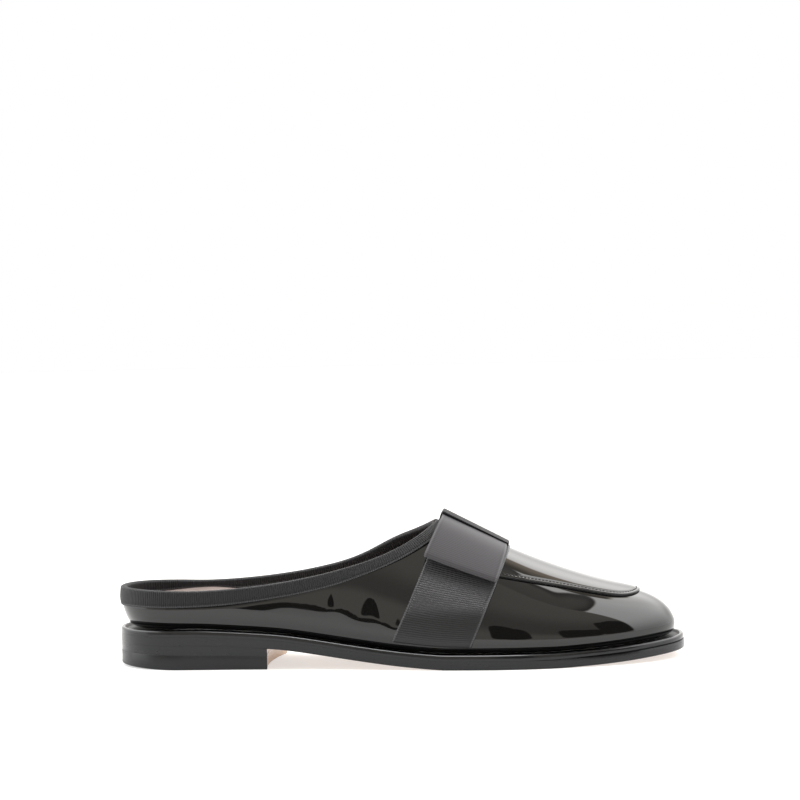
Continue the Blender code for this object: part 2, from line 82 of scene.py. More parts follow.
UPPER = np.array([
    (-20, 5.0, 5.4, 16, 88.0, 0.0, 2.0, 2.0),
    (0, 5.0, 5.2, 15, 88.0, 0.0, 2.0, 2.0),
    (12, 5.0, 4.2, 14, 88.0, 0.0, 2.0, 2.0),
    (30, 5.0, 2.8, 12, 88.0, 0.0, 2.0, 2.0),
    (60, 4.6, 2.4, 10, 86.0, 0.0, 2.0, 2.0),
    (90, 4.4, 2.2, 9, 82.5, 0.5, 2.0, 2.0),
    (110, 4.4, 2.2, 8, 78.0, 1.2, 2.0, 2.0),
    (130, 4.4, 2.1, 8, 70.2, 2.2, 2.0, 2.0),
    (148, 4.5, 2.0, 7, 62.8, 3.0, 2.0, 2.0),
    (180, 4.6, 2.0, 7, 49.4, 4.0, 2.05, 2.05),
    (192, 4.7, 2.0, 7, 44.2, 4.2, 2.1, 2.05),
    (205, 4.8, 2.0, 7, 39.4, 4.5, 2.1, 2.1),
    (218, 5.2, 2.0, 7, 35.2, 4.8, 2.2, 2.2),
    (231, 5.4, 2.0, 7, 31.8, 5.2, 2.4, 2.35),
    (240, 5.5, 2.0, 7, 30.2, 5.5, 2.6, 2.45),
    (260, 5.6, 2.0, 7, 27.4, 6.0, 2.9, 2.6),
    (280, 5.6, 2.0, 7, 25.0, 6.0, 2.9, 2.6),
])
RIM_TOP, RIM_DROP, RIM_INNER = range(1, 4)
RIM = np.array([
    (-20, 35.7, 7.7, 5.2),
    (0, 35.6, 7.4, 5.0),
    (10, 35.3, 7.0, 4.7),
    (20, 34.9, 6.8, 3.8),
    (36, 34.6, 6.5, 2.0),
    (44, 34.9, 6.4, 2.1),
    (52, 35.2, 6.3, 4.3),
    (65, 36.5, 6.0, 3.8),
    (82, 38.9, 6.0, 3.7),
    (100, 42.6, 5.9, 4.8),
    (117, 47.4, 5.0, 5.6),
    (126, 50.7, 4.8, 5.6),
    (135, 54.8, 4.8, 5.6),
    (141, 58.4, 5.2, 5.8),
    (147, 62.9, 6.0, 6.0),
    (155, 69.0, 6.4, 6.0),
    (180, 86.5, 6.4, 6.0),
])
WAVE_X, WAVE_Z, WAVE_LONG, WAVE_HIGH, WAVE_LATERAL, WAVE_MEDIAL = range(6)
WAVES = np.array([
    (114, 36, 29, 9, 0.50, 0.35),
    (66, 31, 6, 5, -0.06, -0.04),
    (80, 32, 6, 5, 0.05, 0.04),
    (103, 29, 3, 9, 0.23, -0.10),
    (122.5, 28, 4.2, 9, 0.25, 0.15),
    (134, 26, 4, 9, 0.30, -0.15),
])
PRESS, PRESS_WIDE, PRESS_FRONT, PRESS_FADE = 0.28, 0.6, 110.0, 60.0
PULL, PULL_X, PULL_LONG = 3.1, 128.0, 10.5
HALVINGS, THROAT_SPAN = 40, (0.4, 0.8)
QUARTER_TURNS, VAMP_TURNS, UPPER_LIFTS, FOLD_LIFTS = 130, 96, 44, 7


def measure(table, column, x):
    """A column of a size table at x: the first stretch's straight line plus, at each inner row, the change
    of slope there times a ramp with its corner rounded over SOFT, which is
    SOFT * log(1 + exp(distance / SOFT))."""
    at, size = table[:, 0], table[:, column]
    slope = np.diff(size) / np.diff(at)
    x = np.asarray(x, float)
    ramp = SOFT * np.logaddexp(0.0, (x[..., None] - at[1:-1]) / SOFT)
    return size[0] + slope[0] * (x - at[0]) + ramp @ np.diff(slope)


def unit(vectors):
    """Vectors brought to length one."""
    return vectors / np.linalg.norm(vectors, axis=-1, keepdims=True)


def quarter(count):
    """Angles of a quarter turn, this many of them."""
    return np.linspace(0.0, np.pi / 2, count)


def along_shoe(turn):
    """Distance from the heel back at a turn from 0 to 1: half of 1 less the cosine, times the length."""
    return LENGTH * (1.0 - np.cos(np.pi * turn)) / 2.0


def turn_at(x):
    """The turn whose distance from the heel back is x, the inverse of along_shoe."""
    return np.arccos(1.0 - 2.0 * x / LENGTH) / np.pi


TURNS = np.linspace(0.0, 1.0, 4001)


def trace(side):
    """One side of the sole's outline and its outward direction: the half-width of the plan, narrowed to a
    point at either end by a rounded cap, (1 - distance ** power) ** (1 / power)."""
    x = along_shoe(TURNS)
    back = np.clip(1.0 - x / HEEL_CAP, 0.0, 1.0)
    front = np.clip((x - LENGTH + TOE_CAP) / TOE_CAP, 0.0, 1.0)
    cap = (1.0 - back**HEEL_POWER) ** (1.0 / HEEL_POWER) * (1.0 - front**TOE_POWER) ** (1.0 / TOE_POWER)
    width = measure(PLAN, PLAN_LATERAL if side == LATERAL else PLAN_MEDIAL, x)
    y = measure(PLAN, PLAN_CENTRE, x) + side * width * cap
    run, rise = np.gradient(x), np.gradient(y)
    size = np.hypot(run, rise)
    return y, -side * rise / size, side * run / size


OUTLINE = {side: trace(side) for side in SIDES}


def edge(turn, side, inset):
    """Outline point at a turn, moved in by inset against its outward direction, and that direction."""
    y, out_x, out_y = (np.interp(turn, TURNS, values) for values in OUTLINE[side])
    return along_shoe(turn) - inset * out_x, y - inset * out_y, out_x, out_y


def inset_line(turn, side, inset):
    """Plan points of the outline moved in by inset."""
    return np.stack(edge(turn, side, inset)[:2], -1)


def bottom(x):
    """Underside of the outsole: the table's line, laid flat on the floor by a softened maximum with zero."""
    return SOLE_SOFT * np.logaddexp(0.0, measure(SOLE, SOLE_BOTTOM, x) / SOLE_SOFT)


def seat(x):
    """Level on which the upper's turned-in margin lies, above outsole and welt."""
    return bottom(x) + OUTSOLE + WELT + 2.0 * JOINT


def form(turn, lift, side):
    """The lasted form. Each turn has a meridian from its feather point (lift 0) to the ridge (lift pi / 2),
    a superellipse whose reach is a power of the cosine and whose climb is a power of the sine, swollen
    outward by a bulge that grows over the first few millimetres of height."""
    base = along_shoe(turn)
    fx, fy, out_x, out_y = edge(turn, side, measure(UPPER, UP_INSET, base))
    front = SPINE_FRONT - SPINE_BEND * (1.0 - turn) ** 2
    back = SPINE_BACK + SPINE_STEP * turn
    spine = -SPINE_SOFT * np.logaddexp(-base / SPINE_SOFT, -front / SPINE_SOFT)
    spine = SPINE_SOFT * np.logaddexp(spine / SPINE_SOFT, back / SPINE_SOFT)
    ridge = measure(UPPER, UP_RIDGE, spine)
    reach = np.maximum(np.cos(lift), 0.0) ** (2.0 / measure(UPPER, UP_SIDE, base))
    climb = np.sin(lift) ** (2.0 / measure(UPPER, UP_CROWN, base))
    foot = seat(fx)
    z = foot + (measure(UPPER, UP_ROOF, spine + (fx - spine) * reach) - foot) * climb
    part = np.clip((z - foot) / measure(UPPER, UP_RISE, base), 0.0, 1.0)
    bulge = measure(UPPER, UP_BULGE, base) * (1.0 - (1.0 - part) ** 2)
    x = spine + (fx + bulge * out_x - spine) * reach
    y = ridge + (fy + bulge * out_y - ridge) * reach
    return np.stack(np.broadcast_arrays(x, y, z), -1)


def facing(turn, lift, side):
    """Outward unit normal of the form: the cross product of small steps along its two directions."""
    step = 2e-3
    ahead, back = np.clip(turn + step, 0.0, 1.0), np.clip(turn - step, 0.0, 1.0)
    along = form(ahead, lift, side) - form(back, lift, side)
    over = np.clip(lift + step, 2 * step, np.pi / 2)
    under = np.clip(lift - step, step, np.pi / 2 - step)
    return unit(-side * np.cross(along, form(turn, over, side) - form(turn, under, side)))


def halve(test, low, high):
    """Where test turns positive between low and high, for whole arrays at once, by halving the span
    HALVINGS times."""
    for _ in range(HALVINGS):
        middle = (low + high) / 2.0
        positive = test(middle) > 0
        low, high = np.where(positive, low, middle), np.where(positive, middle, high)
    return (low + high) / 2.0


def lift_at(turn, side, level):
    """Lift at which the meridian of this turn reaches the height level(x)."""
    def above(lift):
        """How far the meridian's point lies over the level."""
        point = form(turn, lift, side)
        return point[..., 2] - level(point[..., 0])
    return halve(above, np.zeros_like(turn), np.full_like(turn, np.pi / 2))


def rim_level(share, side):
    """Height of the collar edge on one side as a function of x, lowered by a share of the binding's outer
    leg, or of its inner leg where the share is below zero. The medial edge was pulled up beside the throat,
    by a bell-shaped rise."""
    def level(x):
        """The table's edge and the bell-shaped rise, less the share of the leg."""
        pulled = np.where(side > 0, PULL * np.exp(-0.5 * ((x - PULL_X) / PULL_LONG) ** 2), 0.0)
        leg = measure(RIM, RIM_INNER if share < 0 else RIM_DROP, x)
        return measure(RIM, RIM_TOP, x) + pulled - abs(share) * leg
    return level


def throat(share):
    """Turn at which the collar line, lowered by share, meets the ridge."""
    def past(turn):
        """How far the ridge lies under the collar line."""
        top = form(turn, np.full_like(turn, np.pi / 2), LATERAL)
        return rim_level(share, LATERAL)(top[..., 0]) - top[..., 2]
    return halve(past, *map(np.array, THROAT_SPAN))


def wave(points):
    """How far hand lasting has moved the skin out: a sum of bell-shaped swells, one per table row."""
    height = np.where(points[:, 1] < 0, WAVES[:, WAVE_LATERAL, None], WAVES[:, WAVE_MEDIAL, None])
    x = (points[:, 0] - WAVES[:, WAVE_X, None]) / WAVES[:, WAVE_LONG, None]
    z = (points[:, 2] - WAVES[:, WAVE_Z, None]) / WAVES[:, WAVE_HIGH, None]
    return (height * np.exp(-0.5 * (x**2 + z**2))).sum(0)


def skin(points):
    """Outer face of the skin off the form: the waves, less a groove pressed in along the binding's lower
    edge, which fades out towards the throat."""
    below = np.maximum(rim_level(1.0, points[:, 1])(points[:, 0]) - points[:, 2], 0.0)
    deep = PRESS * np.clip((PRESS_FRONT - points[:, 0]) / PRESS_FADE, 0.0, 1.0)
    return wave(points) - deep * np.exp(-((below / PRESS_WIDE) ** 2))


def grid_quads(rows, columns, round_rows=False, round_columns=False):
    """Corner numbers of the cells of a grid of points numbered row by row, closed on itself where asked."""
    here = np.arange(rows * columns).reshape(rows, columns)
    here = np.vstack([here, here[:1]]) if round_rows else here
    here = np.hstack([here, here[:, :1]]) if round_columns else here
    return np.stack([here[:-1, :-1], here[1:, :-1], here[1:, 1:], here[:-1, 1:]], -1).reshape(-1, 4)


WELD_CELL, WELD_SHIFT = 1e-4, 0.3171


def weld(points, quads):
    """Points in one cell of a fine lattice, set off from round sizes, made one; quads that this narrows
    become triangles."""
    lattice = np.floor(points / WELD_CELL + WELD_SHIFT)
    _, first, index = np.unique(lattice, axis=0, return_index=True, return_inverse=True)
    quads = index.reshape(-1)[quads]
    double = quads == np.roll(quads, -1, axis=1)
    count = double.sum(1)
    return points[first], quads[count == 0], quads[count == 1][~double[count == 1]].reshape(-1, 3)


def shell(grids, low, high):
    """Closed skin over a lateral and a medial grid that share their ridge: each point moved along the mean
    of its cells' normals by low and by high, with walls along the free edges."""
    rows, columns = grids[0].shape[:2]
    cells = grid_quads(rows, columns)
    points, quads, _ = weld(np.concatenate([grid.reshape(-1, 3) for grid in grids]),
                            np.concatenate([cells, cells[:, ::-1] + rows * columns]))
    corner = points[quads]
    area = np.cross(corner[:, 2] - corner[:, 0], corner[:, 3] - corner[:, 1])
    out = np.zeros_like(points)
    np.add.at(out, quads.reshape(-1), np.repeat(area, 4, axis=0))
    out = unit(out)
    sides = np.stack([quads, np.roll(quads, -1, axis=1)], -1).reshape(-1, 2)
    count = len(points)
    free = sides[~np.isin(sides @ [count, 1], sides @ [1, count])]
    walls = np.stack([free[:, 1], free[:, 0], free[:, 0] + count, free[:, 1] + count], -1)
    both = np.concatenate([points + out * high(points)[:, None], points + out * low(points)[:, None]])
    return both, np.concatenate([quads, quads[:, ::-1] + count, walls])


def put(name, finishes, points, quads, triangles=None, places=None, crease=40.0):
    """Smooth mesh object from shoe millimetres: turned outward by the sign of its volume, creased where
    faces meet at more than crease degrees, with places as the quads' corners in the weave."""
    triangles = np.zeros((0, 3), int) if triangles is None else triangles
    halves = np.concatenate([quads[:, :3], quads[:, [0, 2, 3]], triangles])
    a, b, c = (points[halves[:, i]] for i in range(3))
    if (a * np.cross(b, c)).sum() < 0:
        quads, triangles = quads[:, ::-1], triangles[:, ::-1]
        places = None if places is None else places[:, ::-1]
    mesh = bpy.data.meshes.new(name)
    mesh.from_pydata(((points - MIDDLE) * MM).tolist(), [], quads.tolist() + triangles.tolist())
    if places is not None:
        mesh.uv_layers.new(name="weave").data.foreach_set("uv", np.ascontiguousarray(places).reshape(-1))
    mesh.polygons.foreach_set("use_smooth", np.ones(len(mesh.polygons), bool))
    mesh.set_sharp_from_angle(angle=np.radians(crease))
    for finish in finishes:
        mesh.materials.append(finish)
    made = bpy.data.objects.new(name, mesh)
    bpy.context.collection.objects.link(made)
    return made


class Wire:
    """A shader node's output to reckon with: + - * / ** and abs each put a Math node behind it."""

    def __init__(self, socket):
        """Keeps the socket and the tree that it is in."""
        self.socket, self.tree = socket, socket.id_data

    def math(self, operation, *others):
        """Output of a Math node with this operation on the wire and the others."""
        values = dict(enumerate((self, *others)))
        return Wire(add(self.tree, "ShaderNodeMath", values, operation=operation).outputs[0])

    def __rsub__(self, value):
        """A number less the wire: the wire times minus one, plus the number."""
        return self * -1.0 + value

    __add__ = partialmethod(math, "ADD")
    __sub__ = partialmethod(math, "SUBTRACT")
    __mul__ = partialmethod(math, "MULTIPLY")
    __truediv__ = partialmethod(math, "DIVIDE")
    __pow__ = partialmethod(math, "POWER")
    __abs__ = partialmethod(math, "ABSOLUTE")


def add(tree, kind, sockets=None, **settings):
    """One shader node: settings are its own properties, and each socket takes a value or a wire."""
    made = tree.nodes.new(kind)
    for name, value in settings.items():
        setattr(made, name, value)
    for socket, value in (sockets or {}).items():
        if isinstance(value, Wire):
            tree.links.new(value.socket, made.inputs[socket])
        else:
            made.inputs[socket].default_value = value
    return made


def feed(node, **wires):
    """Leads each wire to the node's input of that name."""
    for name, wire in wires.items():
        node.id_data.links.new(wire.socket, node.inputs[name.replace("_", " ")])


def fade(value, start, end, low=0.0, high=1.0):
    """Smooth step from low to high as value goes from start to end."""
    return Wire(add(value.tree, "ShaderNodeMapRange", {0: value, 1: start, 2: end, 3: low, 4: high},
                    interpolation_type="SMOOTHSTEP").outputs[0])


def blended(share, first, second):
    """Colour between first and second by share."""
    sockets = {0: share, 6: first, 7: second}
    return Wire(add(share.tree, "ShaderNodeMix", sockets, data_type="RGBA").outputs[2])


def noise(place, scale, detail):
    """Cloudy value about a half, with scale clouds to a unit of place and this many finer octaves."""
    sockets = {"Vector": place, "Scale": scale, "Detail": detail}
    return Wire(add(place.tree, "ShaderNodeTexNoise", sockets).outputs[0])


def embossed(height, depth):
    """Normal of a surface whose height between 0 and 1 stands for depth millimetres."""
    return Wire(add(height.tree, "ShaderNodeBump", {"Height": height, "Distance": depth * MM}).outputs[0])


def finish_named(name, **sockets):
    """A material with these constant values on its Principled shader, and that shader."""
    made = bpy.data.materials.new(name)
    made.use_nodes = True
    shader = made.node_tree.nodes["Principled BSDF"]
    for socket, value in sockets.items():
        shader.inputs[socket.replace("_", " ")].default_value = value
    return made, shader


def spot_on(shader):
    """Wire of the place on the piece that this shader colours."""
    return Wire(add(shader.id_data, "ShaderNodeTexCoord").outputs["Object"])


def patent_finish():
    """Black lacquer: a slow waviness with fine orange peel on it, and smears that dull the gloss."""
    made, shader = finish_named("patent_leather", Base_Color=(0.002, 0.002, 0.0021, 1.0), IOR=1.55)
    place = spot_on(shader)
    peel = noise(place, 650.0, 2.0) * 0.04 + noise(place, 75.0, 1.0)
    smear = fade(noise(place, 38.0, 4.0), 0.35, 0.75, 0.01, 0.045)
    feed(shader, Normal=embossed(peel, 0.012), Roughness=smear)
    return made


THROAT = throat(0.0)
UPPER_TURNS = np.append(THROAT * np.sin(quarter(QUARTER_TURNS)), np.linspace(THROAT, 1.0, VAMP_TURNS)[1:])


def upper_side(side, lowered, margin):
    """One side of the lasted skin: margin under the insole, a quarter-round fold, then the form up to the
    collar edge (lowered by a share of the binding) or to the ridge."""
    turns = UPPER_TURNS
    top = np.where(turns < THROAT, lift_at(turns, side, rim_level(lowered, side)), np.pi / 2)
    start = lift_at(turns, side, lambda x: seat(x) + FOLD)
    lifts = start[:, None] + (top - start)[:, None] * np.linspace(0.0, 1.0, UPPER_LIFTS)
    wall = form(turns[:, None], lifts, side)
    feather = measure(UPPER, UP_INSET, along_shoe(turns))
    lean = np.linalg.norm(wall[:, 0, :2] - inset_line(turns, side, feather), axis=-1)
    bend = quarter(FOLD_LIFTS)[:-1]
    inward = np.append(FOLD + margin, FOLD * (1.0 - np.sin(bend)))
    height = np.append(0.0, FOLD * (1.0 - np.cos(bend)))
    flat = inset_line(turns[:, None], side, feather[:, None] + inward - lean[:, None] * height / FOLD)
    under = np.concatenate([flat, (seat(flat[..., 0]) + height)[..., None]], -1)
    return np.concatenate([under, wall], 1)


patent = patent_finish()
upper_grids = [upper_side(side, 0.0, MARGIN) for side in SIDES]
upper = put("upper_skin", [patent], *shell(upper_grids, lambda p: skin(p) - SKIN, skin))
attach(upper, "root")
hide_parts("upper")

# Lining: pale kid leather pasted inside the upper before lasting, so it shows on the inner walls below the
# binding. It is thinner than the patent skin and has a fine, dull grain.
LINING_TOP, LINING_MARGIN, LINING_GAP = 0.12, 4.5, 0.02


def grouped(name, inputs, outputs):
    """An empty shader group: its tree, the wires of its inputs by name, and its output node."""
    made = bpy.data.node_groups.new(name, "ShaderNodeTree")
    for socket, kind in inputs.items():
        made.interface.new_socket(socket, in_out="INPUT", socket_type="NodeSocket" + kind)
    for socket in outputs:
        made.interface.new_socket(socket, in_out="OUTPUT", socket_type="NodeSocketFloat")
    given = {socket.name: Wire(socket) for socket in made.nodes.new("NodeGroupInput").outputs}
    return made, given, made.nodes.new("NodeGroupOutput")


def placed(shader, group, **inputs):
    """Wires of a group's outputs by name, after placing it in the shader's material with these inputs."""
    node = add(shader.id_data, "ShaderNodeGroup", inputs, node_tree=group)
    return {socket.name: Wire(socket) for socket in node.outputs}


hide_inputs = {"Vector": "Vector", "Pores": "Float"}
grain, hide_given, hide_wanted = grouped("hide_grain", hide_inputs, ("Height", "Shade"))
pores = Wire(add(grain, "ShaderNodeTexVoronoi",
                 {"Vector": hide_given["Vector"], "Scale": hide_given["Pores"]}).outputs["Distance"])
cloud = noise(hide_given["Vector"], 60.0, 5.0)
feed(hide_wanted, Height=cloud * 0.5 + fade(pores, 0.0, 0.6), Shade=pores * 0.25 + cloud)


def tanned(shade, dark, light):
    """Leather colour between dark and light by the grain group's shade."""
    return blended(fade(shade, 0.3, 0.9), dark, light)


def hide(name, dark, light, pores, depth, roughness):
    """A dull leather: its two colours blended by the grain group's shade, its pores embossed."""
    made, shader = finish_named(name, Roughness=roughness)
    leather = placed(shader, grain, Vector=spot_on(shader), Pores=pores)
    feed(shader, Base_Color=tanned(leather["Shade"], dark, light), Normal=embossed(leather["Height"], depth))
    return made


kid = hide("lining_leather", (0.60, 0.555, 0.55, 1.0), (0.70, 0.655, 0.65, 1.0),
           pores=1400.0, depth=0.03, roughness=0.55)
lining_grids = [upper_side(side, LINING_TOP, LINING_MARGIN) for side in SIDES]
lining = put("lining", [kid],
             *shell(lining_grids, lambda p: skin(p) - WALL, lambda p: skin(p) - SKIN - LINING_GAP))
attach(lining, "root")

# Apron: a second panel of patent leather laid over the forepart, cut to its line and lockstitched down all
# round. It starts under the strap and ends in a rounded front above the toe.
APRON_BACK, APRON_THICK, APRON_UNDER = 157.5, 1.25, 0.5
APRON_LIP, APRON_BORDER = 0.5, 3.4
APRON_TURNS, LIP_BENDS, BORDER_STEPS, CROWN_STEPS = 150, 6, 10, 30
STITCH_IN, STITCH_BED, STITCH_BED_HALF = 1.7, 0.3, 0.4
EDGE_LEVEL = 1
APRON = np.array([
    (140, 46.5), (160, 43.0), (177, 39.6), (192, 36.6), (205, 34.0), (217, 31.3), (227, 29.1), (235, 27.9),
    (241, 29.3), (250, 33.0), (280, 46.0),
])


def apron_line(turns, side, inward):
    """Lift of the apron's edge line at each turn, moved up the meridian by inward millimetres."""
    step = 0.01
    low = lift_at(turns, side, lambda x: measure(APRON, EDGE_LEVEL, x))
    reach = np.linalg.norm(form(turns, low + step, side) - form(turns, low, side), axis=-1) / step
    return low[:, None] + np.minimum(inward / reach[:, None], (np.pi / 2 - low)[:, None])


def apron_side(side):
    """One side of the apron's outer face: an upright cut edge, a quarter-round lip up to its full thickness,
    a shallow bed along the stitch line, then the form moved out evenly up to the ridge."""
    turns = np.linspace(turn_at(APRON_BACK), 1.0, APRON_TURNS)
    bend = quarter(LIP_BENDS)
    border = np.linspace(APRON_LIP, APRON_BORDER, BORDER_STEPS)[1:]
    near = np.concatenate([[0.0], APRON_LIP * (1.0 - np.cos(bend)), border])
    lip_height = APRON_THICK - APRON_LIP * (1.0 - np.sin(bend))
    height = np.concatenate([[0.0], lip_height, np.full(len(border), APRON_THICK)])
    height -= STITCH_BED * np.exp(-0.5 * ((near - STITCH_IN) / STITCH_BED_HALF) ** 2)
    lip = apron_line(turns, side, near)
    onward = np.linspace(0.0, 1.0, CROWN_STEPS)[1:]
    lifts = np.hstack([lip, lip[:, -1:] + (np.pi / 2 - lip[:, -1:]) * onward])
    height = np.append(height, np.full(len(onward), APRON_THICK))
    return form(turns[:, None], lifts, side) + facing(turns[:, None], lifts, side) * height[:, None]


apron_grids = [apron_side(side) for side in SIDES]
cut_edge = hide("apron_cut_edge", (0.004, 0.004, 0.004, 1.0), (0.01, 0.01, 0.01, 1.0),
                pores=2400.0, depth=0.03, roughness=0.7)
apron = put("apron_panel", [patent, cut_edge],
            *shell(apron_grids, lambda p: np.full(len(p), -APRON_UNDER), lambda p: np.zeros(len(p))))
apron_rows, apron_columns = (size - 1 for size in apron_grids[0].shape[:2])
number = np.arange(len(apron.data.polygons))
on_cut = (number % apron_columns == 0) & (number < 2 * apron_rows * apron_columns)
apron.data.polygons.foreach_set("material_index", on_cut.astype(np.int32))
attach(apron, "root")
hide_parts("apron")

# Apron stitches: one row of waxed black thread, lockstitched through apron and vamp close to the apron's
# edge. Each stitch lies as a short spindle, half sunk in the bed that the row has drawn into the leather.
STITCH_PITCH, STITCH_LONG, STITCH_WIDE, STITCH_SUNK = 1.7, 1.25, 0.5, 0.22
BEAD_RINGS, BEAD_SIDES, BEAD_BLUNT, BEAD_AHEAD = 7, 6, 0.985, 0.3
SEAM_TURNS = 240


def path_length(points):
    """Length along a line of points up to each of them."""
    return np.append(0.0, np.cumsum(np.linalg.norm(np.diff(points, axis=0), axis=-1)))


def beads(path, out):
    """Stitches along a line of points: at every pitch of its length a spindle, whose radius is
    a circle's half-chord, laid along the line and upright to the direction out."""
    run = path_length(path)
    at = np.arange(STITCH_PITCH, run[-1] - STITCH_PITCH, STITCH_PITCH)

    def found(where, values):
        """Values of the line where its length is that long."""
        return np.stack([np.interp(where, run, values[:, k]) for k in range(3)], -1)

    spot = found(at, path)
    ahead = unit(found(at + BEAD_AHEAD, path) - spot)
    across = unit(np.cross(ahead, found(at, out)))
    axes = np.stack([ahead, across, np.cross(across, ahead)], 1)
    rings, sides = np.linspace(-1.0, 1.0, BEAD_RINGS), np.linspace(0.0, 2 * np.pi, BEAD_SIDES + 1)[:-1]
    length, turn = np.meshgrid(rings, sides, indexing="ij")
    radius = np.sqrt(1.0 - (BEAD_BLUNT * length) ** 2) * STITCH_WIDE / 2.0
    local = np.stack([length * STITCH_LONG / 2.0, radius * np.cos(turn), radius * np.sin(turn)], -1)
    local = local.reshape(-1, 3)
    lid, last = np.array([[0, 1, 2, 3], [0, 3, 4, 5]]), (BEAD_RINGS - 1) * BEAD_SIDES
    wall = grid_quads(BEAD_RINGS, BEAD_SIDES, False, True)
    faces = np.concatenate([wall, lid, last + lid[:, [0, 3, 2, 1]]])
    every = faces + (np.arange(len(at)) * len(local))[:, None, None]
    return (spot[:, None] + local @ axes).reshape(-1, 3), every.reshape(-1, 4)


def stitch_line():
    """Points and normals of the stitch row on the form, up the lateral side and back down the medial one."""
    turns = np.linspace(turn_at(APRON_BACK), 1.0, SEAM_TURNS)
    found = []
    for side in SIDES:
        lift = apron_line(turns, side, np.array([STITCH_IN]))[:, 0]
        found.append((form(turns, lift, side), facing(turns, lift, side)))
    return (np.concatenate([lateral, medial[-2::-1]]) for lateral, medial in zip(*found))


def thread_finish():
    """Waxed black thread, embossed by the waves of its twist."""
    made, shader = finish_named("waxed_thread", Base_Color=(0.012, 0.012, 0.013, 1.0), Roughness=0.55)
    sockets = {"Vector": spot_on(shader), "Scale": 900.0, "Distortion": 3.0}
    twist = Wire(add(shader.id_data, "ShaderNodeTexWave", sockets).outputs["Fac"])
    feed(shader, Normal=embossed(twist, 0.04))
    return made


seam_line, seam_out = stitch_line()
stitches = put("apron_stitches", [thread_finish()],
               *beads(seam_line + seam_out * (APRON_THICK - STITCH_SUNK), seam_out))
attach(stitches, "root")

# Topline binding: black grosgrain tape folded over the raw collar edge and sewn through, closed at the
# throat. Its ribs stand square to the edge, with painted shade in their valleys, and both selvedges are a
# little raised, with pale dots painted on them as painted glints.
TAPE, TAPE_FACE, TAPE_RISE, TAPE_TUCK = 0.55, 0.95, 1.1, 0.25
LEG_ROWS, BEND_ROWS, INNER_ROWS = 8, 9, 5
COLLAR_TURNS, TAPE_MEASURED = 150, 20
RIB_PITCH, CORD_IN, SEAM_IN = 1.0, 0.55, 1.6
FLAT_AND_SHADE_FADE, FLAT_KEPT_AND_SHADED = 3.5, 0.25
TAPE_BLACKS = (0.001, 0.001, 0.0012, 1.0), (0.012, 0.012, 0.013, 1.0)
# SELVEDGE is the pale colour of the dots on the selvedge cords, a painted glint.
SELVEDGE = (0.06, 0.06, 0.064, 1.0)
RIBBON_CREASE = 60.0


def apart(vector):
    """Wires of the three parts of a vector."""
    return [Wire(socket) for socket in add(vector.tree, "ShaderNodeSeparateXYZ", {0: vector}).outputs]


woven_outputs = "Height", "Shade", "Selvedge"
grosgrain, weave_given, weave_wanted = grouped("grosgrain", {"Vector": "Vector"}, woven_outputs)
in_weave = weave_given["Vector"]
from_selvedge, along_ribbon, _ = apart(in_weave)
ribs = (along_ribbon + noise(in_weave, 0.35, 2.0) * 0.35) * (2.0 * np.pi / RIB_PITCH)
rib = (ribs.math("COSINE") * 0.5 + 0.5) ** 0.6
yarn_place = {"Vector": in_weave, "Scale": (2.2, 9.0, 1.0)}
yarn = noise(Wire(add(grosgrain, "ShaderNodeMapping", yarn_place).outputs[0]), 1.0, 3.0)
cord = fade(abs(from_selvedge - CORD_IN), 0.5, 0.15)
sewn = fade(abs(from_selvedge - SEAM_IN), 0.45, 0.2) * (1.2 - rib)
# Shade paints rib valleys and the sewn furrow darker (painted shade); Selvedge paints glints on the cords.
feed(weave_wanted, Height=cord * 0.5 + yarn * 0.35 + rib - sewn * 0.6,
     Shade=rib * 0.6 + yarn * 0.4 - sewn * 0.5, Selvedge=cord * (rib * 0.7 + 0.3))


def ribbon_finish(name, dark, light, selvedge, depth, roughness, gloss, pressed=0.0):
    """Woven ribbon: two blacks blended by the grosgrain group's shade, which holds painted shade in the rib
    valleys, and a paler one in dots on its edge as painted glints; the ribs embossed, with a cool gloss.
    Below the height pressed the ribs were flattened in lasting, and there the colour is painted darker as
    painted shade."""
    made, shader = finish_named(name, Roughness=roughness, Specular_IOR_Level=gloss,
                                Specular_Tint=(0.97, 0.97, 1.0, 1.0))
    on_ribbon = Wire(add(shader.id_data, "ShaderNodeUVMap", uv_map="weave").outputs[0])
    weave = placed(shader, grosgrain, Vector=on_ribbon)
    height = apart(spot_on(shader))[2]
    ribs_and_light_kept = fade(height, (pressed - FLAT_AND_SHADE_FADE) * MM, (pressed + FLAT_AND_SHADE_FADE) * MM, FLAT_KEPT_AND_SHADED, 1.0)
    # Below the pressed height the colour is painted darker as well, as painted shade.
    woven = blended(fade(weave["Shade"] * ribs_and_light_kept, 0.1, 0.9), dark, light)
    feed(shader, Base_Color=blended(weave["Selvedge"], woven, selvedge),
         Normal=embossed(weave["Height"] * ribs_and_light_kept, depth))
    return made


def corners(places):
    """The four corner values of each cell of a grid of values, in the order of grid_quads."""
    four = [places[:-1, :-1], places[1:, :-1], places[1:, 1:], places[:-1, 1:]]
    return np.stack(four, -2).reshape(-1, 4, 2)


def looped(values):
    """Values with the first one again at the end."""
    return np.concatenate([values, values[:1]])


def collar_line(share):
    """Points and normals of the collar edge lowered by share, up the lateral side, down the medial."""
    end = throat(share)
    turns = end * np.sin(quarter(COLLAR_TURNS))
    found = []
    for side in SIDES:
        lift = np.where(turns < end, lift_at(turns, side, rim_level(share, side)), np.pi / 2)
        found.append((form(turns, lift, side), facing(turns, lift, side)))
    return [np.concatenate([lateral, medial[-2:0:-1]]) for lateral, medial in zip(*found)]


